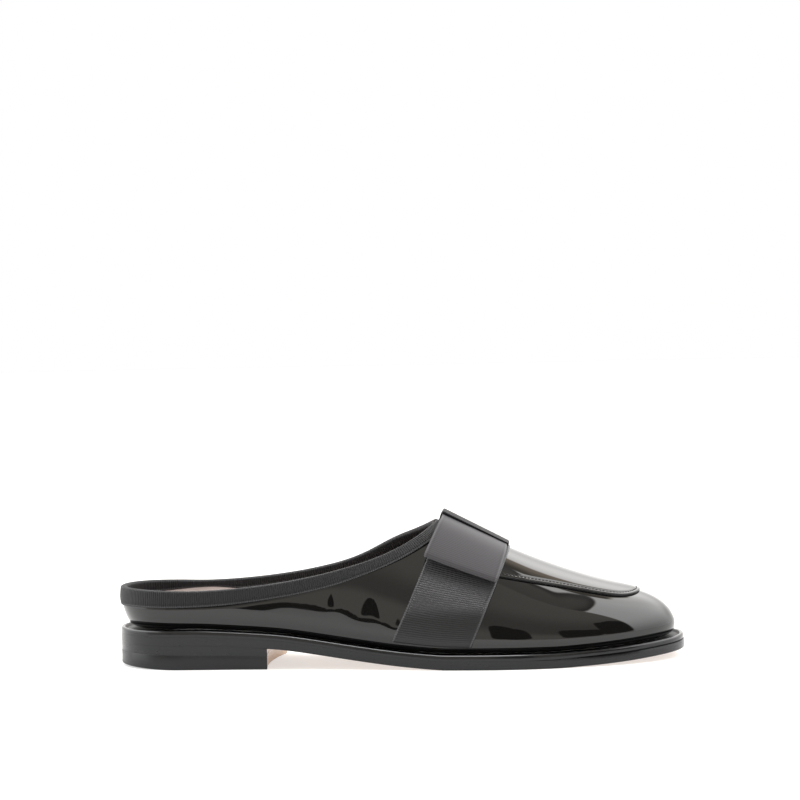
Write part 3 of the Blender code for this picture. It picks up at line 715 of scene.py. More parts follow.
def binding_grid():
    """Tape carried round the collar: up the outside, over the edge in half an ellipse, part of the way down
    the inside, then back a tape's thickness nearer the leather."""
    share = np.concatenate([np.linspace(1.0, 0.0, LEG_ROWS), np.zeros(BEND_ROWS),
                            np.linspace(0.0, -1.0, INNER_ROWS)])
    swing = np.concatenate([np.zeros(LEG_ROWS), np.linspace(0.0, np.pi, BEND_ROWS + 2)[1:-1],
                            np.full(INNER_ROWS, np.pi)])
    middle = (TAPE_FACE - WALL - TAPE) / 2.0
    out = middle + (TAPE_FACE - middle) * np.cos(swing) - TAPE_TUCK * np.maximum(share, 0.0) ** 4
    rise = TAPE_RISE * np.sin(swing)
    ring_share = np.append(share, share[::-1])
    ring_out = np.append(out, (out - TAPE * np.cos(swing))[::-1])
    ring_rise = np.append(rise, (rise - TAPE * np.sin(swing))[::-1])
    lines = {value: collar_line(value) for value in np.unique(share)}
    up = unit(lines[0.0][0] - lines[-1.0][0])
    rings = zip(ring_share, ring_out, ring_rise)
    grid = np.array([lines[part][0] + lines[part][1] * off + up * high for part, off, high in rings])
    return grid, path_length(grid[: len(share), TAPE_MEASURED])


def tape_weave(tape, across):
    """Place of each tape point in the weave: how far it lies from the nearer selvedge, and how far along the
    collar, which is the edge's own length plus the point's offset along the edge, so that the ribs stand
    square to it."""
    rim = tape[LEG_ROWS - 1]
    ahead = looped(unit(np.roll(rim, -1, axis=0) - np.roll(rim, 1, axis=0)))
    rim, ring = looped(rim), looped(tape)
    ring = np.concatenate([ring, ring[:, :1]], 1)
    along = path_length(rim) + ((ring - rim) * ahead).sum(-1)
    nearer = np.minimum(across, across[-1] - across)
    nearer = looped(np.append(nearer, nearer[::-1]))
    return np.stack([np.broadcast_to(nearer[:, None], along.shape), along], -1)


tape, tape_across = binding_grid()
in_tape = tape_weave(tape, tape_across)
tape_black = ribbon_finish("binding_grosgrain", *TAPE_BLACKS, SELVEDGE, depth=0.4, roughness=0.55,
                           gloss=0.36)
binding = put("binding_tape", [tape_black], tape.reshape(-1, 3), grid_quads(*tape.shape[:2], True, True),
              places=corners(in_tape), crease=RIBBON_CREASE)
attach(binding, "root")
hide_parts("topline_binding")

# Strap: broad black grosgrain ribbon laid over the instep from feather line to feather line, before lasting.
# Its ribs run along the shoe, across the ribbon, and a fine dotted selvedge shows along both edges, its dots
# painted glints. Towards its ends the ribs were pressed flat in lasting, and there the ribbon is painted
# darker, as painted shade.
STRAP_LEAN, STRAP_SPAN = 0.43, (0.2, 0.9)
STRAP_BACK, STRAP_FRONT = 122.6, 158.7
STRAP_FLARE, STRAP_FLARE_TOP, STRAP_FLARE_POWER = 1.0, 30.0, 1.5
STRAP_THICK, STRAP_OFF = 0.6, 0.08
STRAP_CLIMB, CLIMB_LOW, CLIMB_HIGH = 1.3, 14.0, 32.0
STRAP_END, STRAP_PRESSED_AND_SHADED = 3.2, 25.5
STRAP_CELLS, STRAP_LIFTS, STRAP_MEASURED = 25, 96, 60
STRAP_BLACKS = (0.003, 0.003, 0.0034, 1.0), (0.032, 0.0315, 0.0345, 1.0)


def eased(x, start, end):
    """Smooth step from 0 to 1 as x goes from start to end: three times the square less twice the cube."""
    part = np.clip((x - start) / (end - start), 0.0, 1.0)
    return part**2 * (3.0 - 2.0 * part)


def across_strap(place, lift, side):
    """Turn at which the form at this lift crosses the sloping plane x - STRAP_LEAN * z = place."""
    def past(turn):
        """How far the point lies past the plane."""
        point = form(turn, lift, side)
        return point[..., 0] - STRAP_LEAN * point[..., 2] - place
    return halve(past, *(np.full_like(lift, end) for end in STRAP_SPAN))


def on_strap(place, lift, side, out):
    """Point of the strap's plane at place and of this lift, out millimetres off the form."""
    turn = across_strap(place, lift, side)
    return form(turn, lift, side) + facing(turn, lift, side) * out[..., None]


def ribbon_section(cells):
    """Closed outline of a flat ribbon, as shares across it from -1 to 1 and shares of its thickness: upper
    face there, lower face back, with both edges rounded."""
    share = np.concatenate([[-1.0, -0.99, -0.97], np.linspace(-0.94, 0.94, cells), [0.97, 0.99, 1.0]])
    high = np.concatenate([[0.5, 0.85, 1.0], np.ones(cells), [1.0, 0.85, 0.5]])
    return np.append(share, share[-2:0:-1]), np.append(high, 1.0 - high[-2:0:-1])


def strap_grid(share, high):
    """Ribbon section carried over the instep: at each lift its points lie on the strap's sloping planes, off
    the form by a height that steps up smoothly where the ribbon climbs on to the apron. The back edge flares
    out near the sole, and both ends are pressed flat."""
    degrees = np.linspace(STRAP_END, 90.0, STRAP_LIFTS)
    height = STRAP_OFF + STRAP_CLIMB * eased(degrees, CLIMB_LOW, CLIMB_HIGH)
    flare = STRAP_FLARE * np.clip(1.0 - degrees / STRAP_FLARE_TOP, 0.0, 1.0) ** STRAP_FLARE_POWER
    place = (STRAP_BACK + STRAP_FRONT) / 2.0 + share * (STRAP_FRONT - STRAP_BACK) / 2.0
    place = place[:, None] - flare * (1.0 - share[:, None]) / 2.0
    lift = np.broadcast_to(np.radians(degrees), place.shape)
    thick = STRAP_THICK * (np.arange(STRAP_LIFTS) > 0)
    out = height + STRAP_THICK / 2.0 + (high[:, None] - 0.5) * thick
    lateral, medial = (on_strap(place, lift, side, out) for side in SIDES)
    return np.concatenate([lateral, medial[:, -2::-1]], 1)


def ribbon(name, finish, cells, carry, measured, closed, slant=0.0):
    """Ribbon piece and its flat width and length: carry makes the grid of section points along the ribbon's
    way. In the weave a point lies as far in as its share of the half-width leaves to the nearer selvedge,
    and as far along as the ribbon's middle line, with slant to turn the ribs."""
    share, high = ribbon_section(cells)
    grid = carry(share, high)
    rows, columns = grid.shape[:2]
    far = rows // 2
    half = np.linalg.norm(grid[far, measured] - grid[0, measured]) / 2.0
    across = half * looped(share)
    middle = grid[far // 2]
    run = path_length(looped(middle) if closed else middle)
    weave = np.stack(np.meshgrid(half - np.abs(across), run, indexing="ij"), -1)
    weave[..., 1] += slant * across[:, None]
    points, quads = grid.reshape(-1, 3), grid_quads(rows, columns, True, closed)
    if not closed:
        points, quads, _ = weld(points, quads)
    made = put(name, [finish], points, quads, places=corners(weave), crease=RIBBON_CREASE)
    return made, (2.0 * half * MM, run[-1] * MM)


strap_black = ribbon_finish("strap_grosgrain", *STRAP_BLACKS, SELVEDGE, depth=0.2, roughness=0.36,
                            gloss=0.5, pressed=STRAP_PRESSED_AND_SHADED)
strap, strap_flat = ribbon("strap_ribbon", strap_black, STRAP_CELLS, strap_grid, STRAP_MEASURED,
                           closed=False)
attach(strap, "root")
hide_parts("vamp_strap")

# Bow loops: one length of the same ribbon folded to a flat loop on either side of the instep.
# It is open at the front and back edges and drawn together in the middle, where the knot holds it. Its
# colours are painted paler than the strap's, as painted sheen where the loops face the light above.
BOW_BACK, BOW_FRONT, BOW_FLARE = 121.3, 156.3, 2.3
BOW_END_BACK, BOW_END_FRONT = np.radians(46.5), np.radians(51.0)
BOW_LOW, BOW_PINCH, BOW_PUFF, BOW_DIP = 3.05, 3.75, 6.0, 1.1
BOW_SWELL = 0.62
BOW_TAPER, BOW_TAPER_END = 2.5, 0.9
BOW_HALF, BOW_THICK = 35.0, 0.45
BOW_CELLS, BOW_STEPS, BOW_BENDS, BOW_MEASURED = 17, 81, 13, 20
# Paler than the strap's blacks, though the same ribbon: painted sheen. The selvedge's dots are painted
# glints.
BOW_SHEEN_BLACKS = (0.050, 0.0484, 0.052, 1.0), (0.070, 0.0678, 0.0728, 1.0)
BOW_SELVEDGE = (0.11, 0.108, 0.113, 1.0)


def over_ridge(place, angle, out):
    """Point above the instep: on the strap's plane at place, at a signed angle from the ridge (lateral below
    0), and out millimetres off the form."""
    lift = np.pi / 2 - np.abs(angle)
    points = np.zeros(angle.shape + (3,))
    for side in SIDES:
        chosen = angle <= 0 if side == LATERAL else angle > 0
        points[chosen] = on_strap(place[chosen], lift[chosen], side, out[chosen])
    return points


def loop_path(deep):
    """Ribbon's way round both loops, deep millimetres inside its outer face, as shares of the half-length
    and heights: over the top, which swells from the pinch with the square of a sine, round a half circle,
    and back flat below."""
    radius = (BOW_PUFF - BOW_LOW) / 2.0
    end = 1.0 - radius / BOW_HALF
    flat = np.linspace(-end, end, BOW_STEPS)
    swell = np.sin(np.clip(np.abs(flat) / BOW_SWELL, 0.0, 1.0) * np.pi / 2) ** 2
    top = BOW_PINCH + (BOW_PUFF - BOW_PINCH) * swell - deep
    bend = np.linspace(np.pi / 2, -np.pi / 2, BOW_BENDS)[1:-1]
    side = end + (radius - deep) * np.cos(bend) / BOW_HALF
    rise = BOW_LOW + radius + (radius - deep) * np.sin(bend)
    return (np.concatenate([flat, side, flat[::-1], -side[::-1]]),
            np.concatenate([top, rise, np.full(BOW_STEPS, BOW_LOW + deep), rise[::-1]]))


def bow_grid(share, high):
    """Ribbon section carried along the loops' way: wider towards their ends, raised at the back edge by a
    taper that lessens there, and dipped in the middle under the knot."""
    part, out = (np.array(rows) for rows in zip(*(loop_path((1.0 - h) * BOW_THICK) for h in high)))
    along = (share[:, None] + 1.0) / 2.0
    place = BOW_BACK + (BOW_FRONT - BOW_BACK + BOW_FLARE * np.abs(part)) * along
    angle = part * (BOW_END_BACK + (BOW_END_FRONT - BOW_END_BACK) * along)
    middle = 1.0 - np.abs(part)
    taper = BOW_TAPER_END + (BOW_TAPER - BOW_TAPER_END) * middle
    return over_ridge(place, angle, out + taper * (1.0 - along) - BOW_DIP * middle)


bow_black = ribbon_finish("bow_grosgrain", *BOW_SHEEN_BLACKS, BOW_SELVEDGE, depth=0.008, roughness=0.5,
                          gloss=0.15)
loops, bow_flat = ribbon("bow_ribbon", bow_black, BOW_CELLS, bow_grid, BOW_MEASURED, closed=True)
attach(loops, "root")
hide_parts("bow_loops")

# Bow knot: a narrower piece of ribbon wound once round the middle of the loops and sewn underneath.
# Its ribs run slantwise, because the ribbon was turned as it was wound.
KNOT_HALF = np.radians(9.0)
KNOT_LOW, KNOT_TOP, KNOT_TAPER = 2.02, 3.95, 3.0
KNOT_THICK, KNOT_ROUND, KNOT_PAST, KNOT_SLANT = 0.5, 0.9, 0.9, 0.7
KNOT_CELLS, KNOT_STEPS, KNOT_BENDS, KNOT_MEASURED = 11, 28, 6, 10
KNOT_BLACKS = (0.003, 0.003, 0.0034, 1.0), (0.016, 0.0158, 0.017, 1.0)


def knot_path(deep):
    """Way of the knot's ribbon round the bow, deep millimetres inside its outer face, as places along the
    shoe and heights: a rectangle with quarter-round corners, lifted towards the back with the loops."""
    back, front = BOW_BACK - KNOT_PAST, BOW_FRONT + BOW_FLARE * KNOT_HALF / BOW_END_FRONT + KNOT_PAST
    bend = quarter(KNOT_BENDS)
    swing, sink = (KNOT_ROUND - deep) * np.sin(bend), (KNOT_ROUND - deep) * np.cos(bend)
    front_x, back_x = front - KNOT_ROUND, back + KNOT_ROUND
    high_z, low_z = KNOT_TOP - KNOT_ROUND, KNOT_LOW + KNOT_ROUND
    flat = np.linspace(back_x, front_x, KNOT_STEPS + 2)[1:-1]
    x = np.concatenate([flat, front_x + swing, front_x + sink, flat[::-1], back_x - swing, back_x - sink])
    z = np.concatenate([np.full(KNOT_STEPS, KNOT_TOP - deep), high_z + sink, low_z - swing,
                        np.full(KNOT_STEPS, KNOT_LOW + deep), low_z - sink, high_z + swing])
    lifted = KNOT_TAPER * (front - x) / (front - back)
    return x, z + lifted * np.clip((z - KNOT_LOW) / (KNOT_TOP - KNOT_LOW), 0.0, 1.0)


def knot_grid(share, high):
    """Ribbon section carried along the knot's way, its width spread as an angle either side of the ridge."""
    place, out = (np.array(rows) for rows in zip(*(knot_path((1.0 - h) * KNOT_THICK) for h in high)))
    return over_ridge(place, np.broadcast_to(share[:, None] * KNOT_HALF, place.shape), out)


knot_black = ribbon_finish("knot_grosgrain", *KNOT_BLACKS, SELVEDGE, depth=0.12, roughness=0.6,
                           gloss=0.25)
knot, knot_flat = ribbon("knot_ribbon", knot_black, KNOT_CELLS, knot_grid, KNOT_MEASURED, closed=True,
                         slant=KNOT_SLANT)
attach(knot, "root")
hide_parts("bow_knot")

# Insole: a board under a pale leather sock, laid inside the lasted upper on its turned-in margin.
# The foot's side is slightly dished, and its edge is rounded against the lining.
INSOLE, DISH = 2.4, 0.5
SOCK_EDGE = ((0.0, 1.1), (0.6, 0.55), (1.5, 0.35), (2.0, 0.45), (2.25, 0.7), (INSOLE, 1.2))
SOCK_COLUMNS = 25
SOLE_TURNS = np.linspace(0.0, 1.0, 221)


def plan_grid(inset, columns, lateral_turns=SOLE_TURNS, medial_turns=SOLE_TURNS):
    """Plan points inside the outline: straight across between both edges, moved in by inset."""
    lateral = inset_line(lateral_turns, LATERAL, inset)[:, None]
    medial = inset_line(medial_turns, MEDIAL, inset)[:, None]
    return lateral + (medial - lateral) * np.linspace(0.0, 1.0, columns)[None, :, None]


def at_level(grid, level):
    """Plan points raised to the height level(x)."""
    return np.concatenate([grid, level(grid[..., 0])[..., None]], -1)


def slab(layers):
    """Closed block from plan grids stacked from the floor up: the first and last close it, and the borders
    of all of them make its wall."""
    rows, columns = layers[0].shape[:2]
    index = np.arange(rows * columns).reshape(rows, columns)
    border = np.concatenate([index[:, 0], index[-1, 1:], index[-2::-1, -1], index[0, -2:0:-1]])
    walls = np.array([layer.reshape(-1, 3)[border] for layer in layers])
    cells = grid_quads(rows, columns)
    count = rows * columns
    points = np.concatenate([layers[0].reshape(-1, 3), layers[-1].reshape(-1, 3), walls.reshape(-1, 3)])
    wall_cells = grid_quads(len(layers), len(border), False, True)[:, ::-1] + 2 * count
    return weld(points, np.concatenate([cells[:, ::-1], cells + count, wall_cells]))


def insole_layers():
    """The sock's rings from its underside up: along the inside of the lining, then rounded over."""
    x = along_shoe(SOLE_TURNS)
    layers = []
    for rise, slack in SOCK_EDGE:
        part = np.clip((WALL + JOINT + rise) / measure(UPPER, UP_RISE, x), 0.0, 1.0)
        lean = measure(UPPER, UP_BULGE, x) * (1.0 - (1.0 - part) ** 2)
        inset = measure(UPPER, UP_INSET, x) + WALL + slack - lean
        layers.append(at_level(plan_grid(inset, SOCK_COLUMNS), lambda x: seat(x) + WALL + JOINT + rise))
    layers[-1][..., 2] -= DISH * (1.0 - np.linspace(-1.0, 1.0, SOCK_COLUMNS) ** 2) ** 2
    return layers


sock = hide("sock_leather", (0.36, 0.29, 0.265, 1.0), (0.46, 0.38, 0.35, 1.0),
            pores=1100.0, depth=0.04, roughness=0.6)
insole = put("insole_sock", [sock], *slab(insole_layers()))
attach(insole, "root")
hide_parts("insole")

# Welt: a strip of leather run round the upper's feather line, its lip trimmed, rounded and inked black.
# Its upper face sinks behind the lip, which leaves a dark gap below the upper.
WELT_OFF, WELT_SHUT, WELT_DEEP = 0.04, 0.03, 16.0
GROOVE_BACK, GROOVE_FRONT = 185.0, 225.0
WELT_INSET, WELT_CHAMFER, WELT_HEIGHT = range(3)
WELT_SECTION = np.array([
    (WELT_DEEP, 0.0, 0.0),
    (0.0, 0.75, 0.0),
    (0.0, 0.5, 0.3),
    (0.0, 0.4, 0.7),
    (0.0, 0.4, 2.0),
    (0.05, 0.4, 2.1),
    (0.5, 0.4, 2.55),
    (0.6, 0.4, 2.6),
    (1.7, 0.4, 2.48),
    (2.8, 0.0, 1.5),
    (WELT_DEEP, 0.0, 1.5),
])
WELT_SHELF_ROW = 8
BARE_PORES = 900.0

ink, ink_given, ink_wanted = grouped("inked_edge", {"Vector": "Vector"}, ("Height", "Shade"))
drawn_place = {"Vector": ink_given["Vector"], "Scale": (45.0, 45.0, 900.0)}
streak = noise(Wire(add(ink, "ShaderNodeMapping", drawn_place).outputs[0]), 1.0, 4.0)
fleck = noise(ink_given["Vector"], 420.0, 3.0)
feed(ink_wanted, Height=fleck * 0.4 + streak, Shade=fleck * 0.3 + streak * 0.7)


def inked(name, dark, light, roughness, depth, bare=None):
    """Edge leather or rubber finished with black ink: two blacks blended by the ink group's streaks,
    embossed. Where the piece's natural attribute is 1, leather in the two colours of bare shows instead."""
    made, shader = finish_named(name, Specular_IOR_Level=0.42, Specular_Tint=(0.96, 0.97, 1.0, 1.0))
    place = spot_on(shader)
    drawn_on = placed(shader, ink, Vector=place)
    colour = blended(fade(drawn_on["Shade"], 0.3, 0.7), dark, light)
    if bare:
        shown = Wire(add(shader.id_data, "ShaderNodeAttribute", attribute_name="natural").outputs["Fac"])
        leather = placed(shader, grain, Vector=place, Pores=BARE_PORES)
        colour = blended(shown, colour, tanned(leather["Shade"], *bare))
    feed(shader, Base_Color=colour, Normal=embossed(drawn_on["Height"], depth),
         Roughness=fade(drawn_on["Shade"], 0.3, 0.7, roughness, roughness + 0.12))
    return made


def groove(turn):
    """How open the joint of welt and outsole is: sanded shut from the heel forward, full round the toe."""
    return eased(along_shoe(turn), GROOVE_BACK, GROOVE_FRONT)


def welt_grid():
    """The section's points carried round the outline: moved in by their inset and, as far as the groove is
    open, by their chamfer, at their height over the outsole."""
    chamfer = WELT_SECTION[:, WELT_CHAMFER, None] * groove(SOLE_TURNS)
    inset = WELT_SHUT + WELT_SECTION[:, WELT_INSET, None] + chamfer
    lateral, medial = (inset_line(np.broadcast_to(SOLE_TURNS, inset.shape), side, inset) for side in SIDES)
    flat = np.concatenate([lateral, medial[:, -2:0:-1]], 1)
    height = OUTSOLE + WELT_OFF + WELT_SECTION[:, WELT_HEIGHT, None]
    return at_level(flat, lambda x: bottom(x) + height)


welt_points = welt_grid()
welt_ink = inked("welt_leather", (0.003, 0.003, 0.0032, 1.0), (0.007, 0.007, 0.0074, 1.0),
                 roughness=0.13, depth=0.003)
welt_shelf = hide("welt_shelf", (0.02, 0.02, 0.02, 1.0), (0.038, 0.038, 0.038, 1.0),
                  pores=1600.0, depth=0.03, roughness=0.5)
welt = put("welt_strip", [welt_ink, welt_shelf], welt_points.reshape(-1, 3),
           grid_quads(*welt_points.shape[:2], True, True))
on_shelf = np.arange(len(welt.data.polygons)) // welt_points.shape[1] >= WELT_SHELF_ROW
welt.data.polygons.foreach_set("material_index", on_shelf.astype(np.int32))
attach(welt, "root")
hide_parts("welt")

# Outsole: one plate of oak-bark tanned leather, stitched to the welt, trimmed flush and inked black on its
# edge. The underside is left natural, and the front part is slightly rounded under.
SOLE_ROUND, SOLE_SQUARE = 0.7, 0.06
ROUND_BACK, ROUND_FRONT = 66.0, 76.0
SOLE_RIM = ((0.0, OUTSOLE - 0.35), (0.06, OUTSOLE - 0.12), (0.3, OUTSOLE))
SOLE_COLUMNS, SOLE_BENDS = 17, 6
UNDER_WAY, UNDER_LEAST = (0.0, 0.0, -1.0), 0.9
SOLE_INK = (0.002, 0.002, 0.0022, 1.0), (0.006, 0.006, 0.0064, 1.0)
NATURAL = (0.46, 0.305, 0.20, 1.0), (0.56, 0.40, 0.28, 1.0)


def outsole_layers():
    """Plate's rings from the floor up: a quarter-round lower edge, wide in front and nearly square over the
    heel, an upright wall, and a small chamfer under the welt."""
    layers = []
    arc = SOLE_SQUARE + (SOLE_ROUND - SOLE_SQUARE) * eased(along_shoe(SOLE_TURNS), ROUND_BACK, ROUND_FRONT)
    for bend in quarter(SOLE_BENDS):
        grid = at_level(plan_grid(arc * (1.0 - np.sin(bend)), SOLE_COLUMNS), bottom)
        grid[..., 2] += (arc * (1.0 - np.cos(bend)))[:, None]
        layers.append(grid)
    for inset, rise in SOLE_RIM:
        grid = plan_grid(inset * groove(SOLE_TURNS), SOLE_COLUMNS)
        layers.append(at_level(grid, lambda x: bottom(x) + rise))
    return layers


def mark(made, axis, least):
    """Natural attribute of the faces: 1 where the normal points along axis by more than the share least."""
    normal = np.empty(3 * len(made.data.polygons), np.float32)
    made.data.polygons.foreach_get("normal", normal)
    shown = (normal.reshape(-1, 3) @ np.array(axis, np.float32) > least).astype(np.float32)
    made.data.attributes.new("natural", "FLOAT", "FACE").data.foreach_set("value", shown)


sole_black = inked("outsole_leather", *SOLE_INK, roughness=0.17, depth=0.006, bare=NATURAL)
outsole = put("outsole_plate", [sole_black], *slab(outsole_layers()))
mark(outsole, UNDER_WAY, UNDER_LEAST)
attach(outsole, "root")
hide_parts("outsole")

# Heel block: a low stack of leather lifts under the outsole, sanded flush with its edge and inked black.
# Its hollow front, the breast, keeps the natural colour of the sole.
BREAST_LATERAL, BREAST_MEDIAL, BREAST_HOLLOW = 70.5, 74.3, 2.5
BREAST_WAY, BREAST_LEAST = (1.0, 0.0, 0.0), 0.75
LIFT_TOP, LIFT_SLOPE = 7.4, 0.025
HEEL_IN, HEEL_OPEN, HEEL_SHUT_AT, HEEL_SHUT = 0.03, 0.12, 34.0, 0.2
HEEL_FOOT, HEEL_EDGE_LOW, HEEL_EDGE_HIGH, HEEL_HEAD = 0.03, 0.12, 0.3, 0.02
HEEL_COLUMNS, HEEL_ROWS = 25, 70
HEEL_SHARE = np.sin(quarter(HEEL_ROWS))


def heel_plan(inset):
    """Plan points of the heel: between the outline's two sides from the back to the breast, which is
    hollowed by a parabola across it that fades quickly towards the back."""
    share = HEEL_SHARE[:, None]
    across = np.linspace(0.0, 1.0, HEEL_COLUMNS)
    lateral, medial = (HEEL_SHARE * turn_at(breast) for breast in (BREAST_LATERAL, BREAST_MEDIAL))
    grid = plan_grid(inset, HEEL_COLUMNS, lateral, medial)
    back = np.broadcast_to(inset, len(share))[:, None]
    grid[..., 0] -= BREAST_HOLLOW * share**6 * 4.0 * across * (1.0 - across) + back * share**12
    return grid


def opened(inset):
    """Inset of a joint's edge along the heel: full at the back, a fifth of it from the middle on."""
    x = along_shoe(HEEL_SHARE * turn_at(BREAST_LATERAL))
    return inset * (HEEL_SHUT + (1.0 - HEEL_SHUT) * np.clip(1.0 - x / HEEL_SHUT_AT, 0.0, 1.0))


def lift_top(x):
    """Upper face of the top lift, which drops a little towards the breast."""
    return LIFT_TOP - LIFT_SLOPE * x


heel_black = inked("heel_leather", *SOLE_INK, roughness=0.17, depth=0.006, bare=NATURAL)
heel_block = put("heel_stack", [heel_black], *slab([
    at_level(heel_plan(HEEL_IN + opened(HEEL_OPEN)), lambda x: lift_top(x) + HEEL_FOOT),
    at_level(heel_plan(HEEL_IN), lambda x: lift_top(x) + HEEL_EDGE_LOW),
    at_level(heel_plan(HEEL_IN), lambda x: bottom(x) - HEEL_EDGE_HIGH),
    at_level(heel_plan(HEEL_IN), lambda x: bottom(x) - HEEL_HEAD),
]))
mark(heel_block, BREAST_WAY, BREAST_LEAST)
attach(heel_block, "root")
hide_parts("heel_block")

# Top lift: the rubber piece that meets the floor, cemented under the heel block and cut up a little at the
# back. It is duller than the inked leather above it.
BEVEL_RISE, BEVEL_RUN, BEVEL_POWER = 1.2, 28.0, 1.5
LIFT_RIM = ((0.5, 0.0), (0.18, 0.14), (0.05, 0.5))
LIFT_EDGE, LIFT_OPEN = 0.1, 0.1
LIFT_INK = (0.002, 0.002, 0.0024, 1.0), (0.006, 0.006, 0.0068, 1.0)


def lift_floor(x):
    """Underside of the top lift: on the floor, cut up towards the back by a power of the distance."""
    return BEVEL_RISE * np.clip(1.0 - x / BEVEL_RUN, 0.0, 1.0) ** BEVEL_POWER


lift_black = inked("top_lift_rubber", *LIFT_INK, roughness=0.3, depth=0.015, bare=NATURAL)
top_lift = put("lift_rubber", [lift_black], *slab([
    *(at_level(heel_plan(inset), lambda x: lift_floor(x) + rise) for inset, rise in LIFT_RIM),
    at_level(heel_plan(HEEL_IN), lambda x: lift_top(x) - LIFT_EDGE),
    at_level(heel_plan(HEEL_IN + opened(LIFT_OPEN)), lift_top),
]))
mark(top_lift, BREAST_WAY, BREAST_LEAST)
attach(top_lift, "root")
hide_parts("top_lift")

# Studio: a white floor that glows a little, tall white walls at the sides and behind, a dim room in front
# with a few dark things, which the gloss shows as bands, and a soft box overhead. Each fade gives the two
# places, mostly heights or turns in degrees, between which the light changes, then its levels.
FLOOR_SPAN, FLOOR_GREY, FLOOR_GLOW = 6.0, 0.5, 0.55
SIDE_HEIGHT, SIDE_TURN, SIDE_FADE = 2.08, np.radians(101.0), (5.0, 45.0, 2.1, 4.4)
BACK_HEIGHT, BACK_TURNS, BACK_FADE = 0.5, (118.0, 142.0), (16.0, 38.0, 1.7, 3.9)
GAP_FADE, GAP_EDGE = (-0.06, -0.015, 0.7, 0.35), (-0.012, 0.012)
PANEL_STEEP, PANEL_SLIGHT, PANEL_RISING = (-1.2, 182.4), (-0.5, 80.9), (0.5, -78.0)
PANEL_EDGE, PANEL_TURNS = (43.0, 45.0), (137.0, 139.5)
PANEL_FADE, PANEL_TINGE = (47.0, 57.0, 1.15, 0.45), (62.0, 55.0)
ROOM_TURNS, ROOM_LOW_FADE, ROOM_HIGH_FADE = (66.0, 64.0), (12.0, 22.0, 1.0, 0.58), (28.0, 52.0, 0.0, 0.36)
THING_LEVEL, THING_EDGE, THING_RAGGED = 0.12, (1.15, 0.85), 5.0
THINGS = (
    (-36.0, 0.0, 29.0, 1.6),
    (-25.0, 8.5, 2.6, 5.5),
    (9.5, 12.0, 9.5, 11.0),
    (38.0, 15.0, 7.5, 12.0),
    (55.0, 22.0, 10.5, 19.0),
)
WHITE, SIDE_WHITE, BACK_WHITE = (1.0, 1.0, 1.0, 1.0), (1.0, 1.0, 0.99, 1.0), (1.0, 0.99, 0.97, 1.0)
PANEL_BROWN, ROOM_DUSK = (1.0, 0.87, 0.71, 1.0), (1.0, 0.95, 0.86, 1.0)
BOX_SIZE, BOX_HEIGHT, BOX_POWER = 0.44, 1.15, 6.0

floor_corners = FLOOR_SPAN * np.array([[-1, -1, 0], [1, -1, 0], [1, 1, 0], [-1, 1, 0]])
floor_mesh = bpy.data.meshes.new("floor")
floor_mesh.from_pydata(floor_corners.tolist(), [], [[0, 1, 2, 3]])
floor = bpy.data.objects.new("floor", floor_mesh)
bpy.context.collection.objects.link(floor)
floor_white, _ = finish_named("white_floor", Base_Color=(*[FLOOR_GREY] * 3, 1.0), Roughness=0.9,
                              Emission_Color=WHITE, Emission_Strength=FLOOR_GLOW)
floor_mesh.materials.append(floor_white)

scene = bpy.context.scene
scene.view_settings.view_transform = "Standard"
studio = bpy.data.worlds.new("studio")
studio.use_nodes = True
scene.world = studio
sky = studio.node_tree
sky.nodes.clear()


def mixed(share, first, second):
    """Level between first and second by share."""
    return Wire(add(sky, "ShaderNodeMix", {0: share, 2: first, 3: second}).outputs[0])


def glow(colour, level):
    """Wire of a light of this colour and level."""
    return Wire(add(sky, "ShaderNodeBackground", {0: colour, 1: level}).outputs[0])


way = Wire(add(sky, "ShaderNodeTexCoord").outputs["Generated"])
toward_x, toward_y, toward_z = apart(way)
turn = toward_x.math("ARCTAN2", toward_y * -1.0).math("DEGREES")
aside = abs(turn)
height = toward_z.math("ARCSINE").math("DEGREES")

side_top = abs(toward_x) * (SIDE_HEIGHT * np.sin(SIDE_TURN)) - toward_y * (SIDE_HEIGHT * np.cos(SIDE_TURN))
under_top = side_top.math("MAXIMUM", toward_y * BACK_HEIGHT) - toward_z
lit = fade(under_top, *GAP_EDGE)
behind = fade(aside, *BACK_TURNS)
steep, slight, rising = (aside * slope + start for slope, start in (PANEL_STEEP, PANEL_SLIGHT, PANEL_RISING))
crest = steep.math("MINIMUM", slight).math("MAXIMUM", rising).math("MAXIMUM", 0.0)
panel = fade(height - crest, *PANEL_EDGE) * fade(aside, *PANEL_TURNS)
panel_level = fade(height, *PANEL_FADE)
back_level = mixed(panel, fade(height, *BACK_FADE), panel_level)
wall_level = mixed(behind, fade(height, *SIDE_FADE), back_level)
gap_level = mixed(behind, fade(under_top, *GAP_FADE), panel_level)

ragged = height + (noise(way, 9.0, 2.0) - 0.5) * THING_RAGGED
dark = turn * 0.0
for thing_turn, thing_height, half_turn, half_height in THINGS:
    far = ((turn - thing_turn) / half_turn) ** 4.0 + ((ragged - thing_height) / half_height) ** 4.0
    dark = dark.math("MAXIMUM", fade(far, *THING_EDGE))
room_level = mixed(dark, fade(height, *ROOM_LOW_FADE) + fade(height, *ROOM_HIGH_FADE), THING_LEVEL)

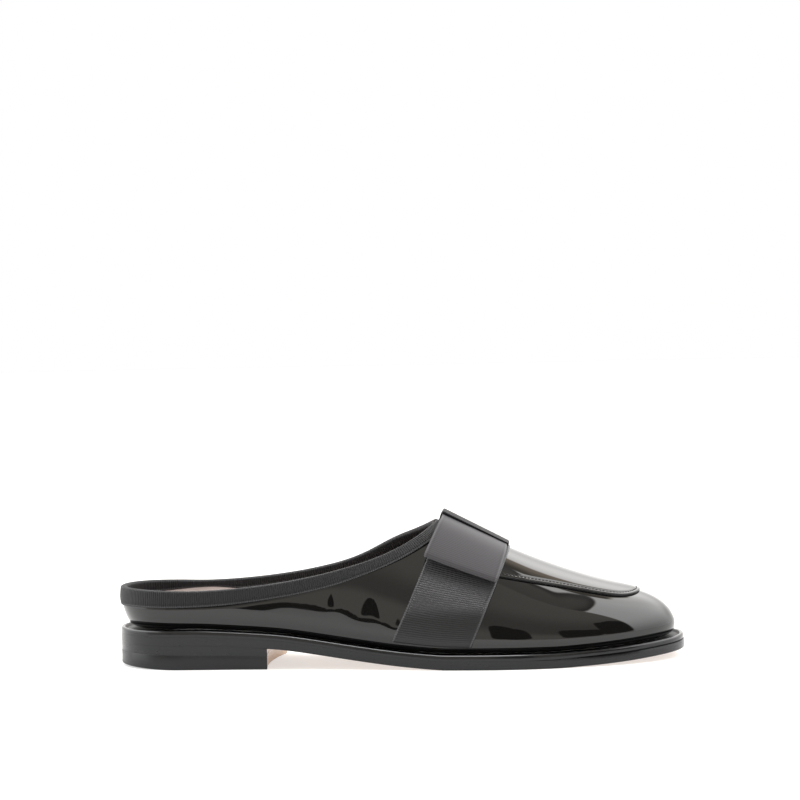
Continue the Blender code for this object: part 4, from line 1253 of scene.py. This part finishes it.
front = fade(aside, *ROOM_TURNS)
level = mixed(front, mixed(lit, gap_level, wall_level), room_level)
back_colour = blended(panel * fade(height, *PANEL_TINGE), BACK_WHITE, PANEL_BROWN)
dusky = front.math("MAXIMUM", (1.0 - lit) * (1.0 - behind))
colour = blended(dusky, blended(behind, SIDE_WHITE, back_colour), ROOM_DUSK)
seen = Wire(add(sky, "ShaderNodeLightPath").outputs["Is Camera Ray"])
both = add(sky, "ShaderNodeMixShader", {0: seen, 1: glow(colour, level), 2: glow(WHITE, 1.0)}).outputs[0]
add(sky, "ShaderNodeOutputWorld", {0: Wire(both)})

box_light = bpy.data.lights.new("overhead_box", "AREA")
box_light.shape = "DISK"
box_light.size = BOX_SIZE
box_light.energy = BOX_POWER
overhead = bpy.data.objects.new("overhead_box", box_light)
overhead.location = (0.0, 0.0, BOX_HEIGHT)
overhead.visible_camera = False
bpy.context.collection.objects.link(overhead)

# Camera: at the photograph's angle, a little forward of square to the lateral side and low, with its slight
# roll. Its lens is long, and it stands more than a metre from the shoe.
CAMERA_TURN, CAMERA_ROLL = np.radians(3.0), np.radians(-1.18)
CAMERA_AWAY, CAMERA_HIGH = 1200.0, 162.0
AIM_X, AIM_Z = 131.29, 119.62
CAMERA_LENS, CAMERA_SENSOR = 117.36, 36.0

eye = np.array([AIM_X + CAMERA_AWAY * np.sin(CAMERA_TURN), -CAMERA_AWAY * np.cos(CAMERA_TURN), CAMERA_HIGH])
look = unit(np.array([AIM_X, 0.0, AIM_Z]) - eye)
level_right = unit(np.cross(look, [0.0, 0.0, 1.0]))
level_up = np.cross(level_right, look)
right = np.cos(CAMERA_ROLL) * level_right + np.sin(CAMERA_ROLL) * level_up
up = np.cos(CAMERA_ROLL) * level_up - np.sin(CAMERA_ROLL) * level_right
lens = bpy.data.cameras.new("camera")
lens.lens = CAMERA_LENS
lens.sensor_width = CAMERA_SENSOR
camera = bpy.data.objects.new("camera", lens)
axes = Matrix(np.column_stack([right, up, -look]).tolist())
camera.matrix_world = Matrix.Translation(((eye - MIDDLE) * MM).tolist()) @ axes.to_4x4()
bpy.context.collection.objects.link(camera)
scene.camera = camera
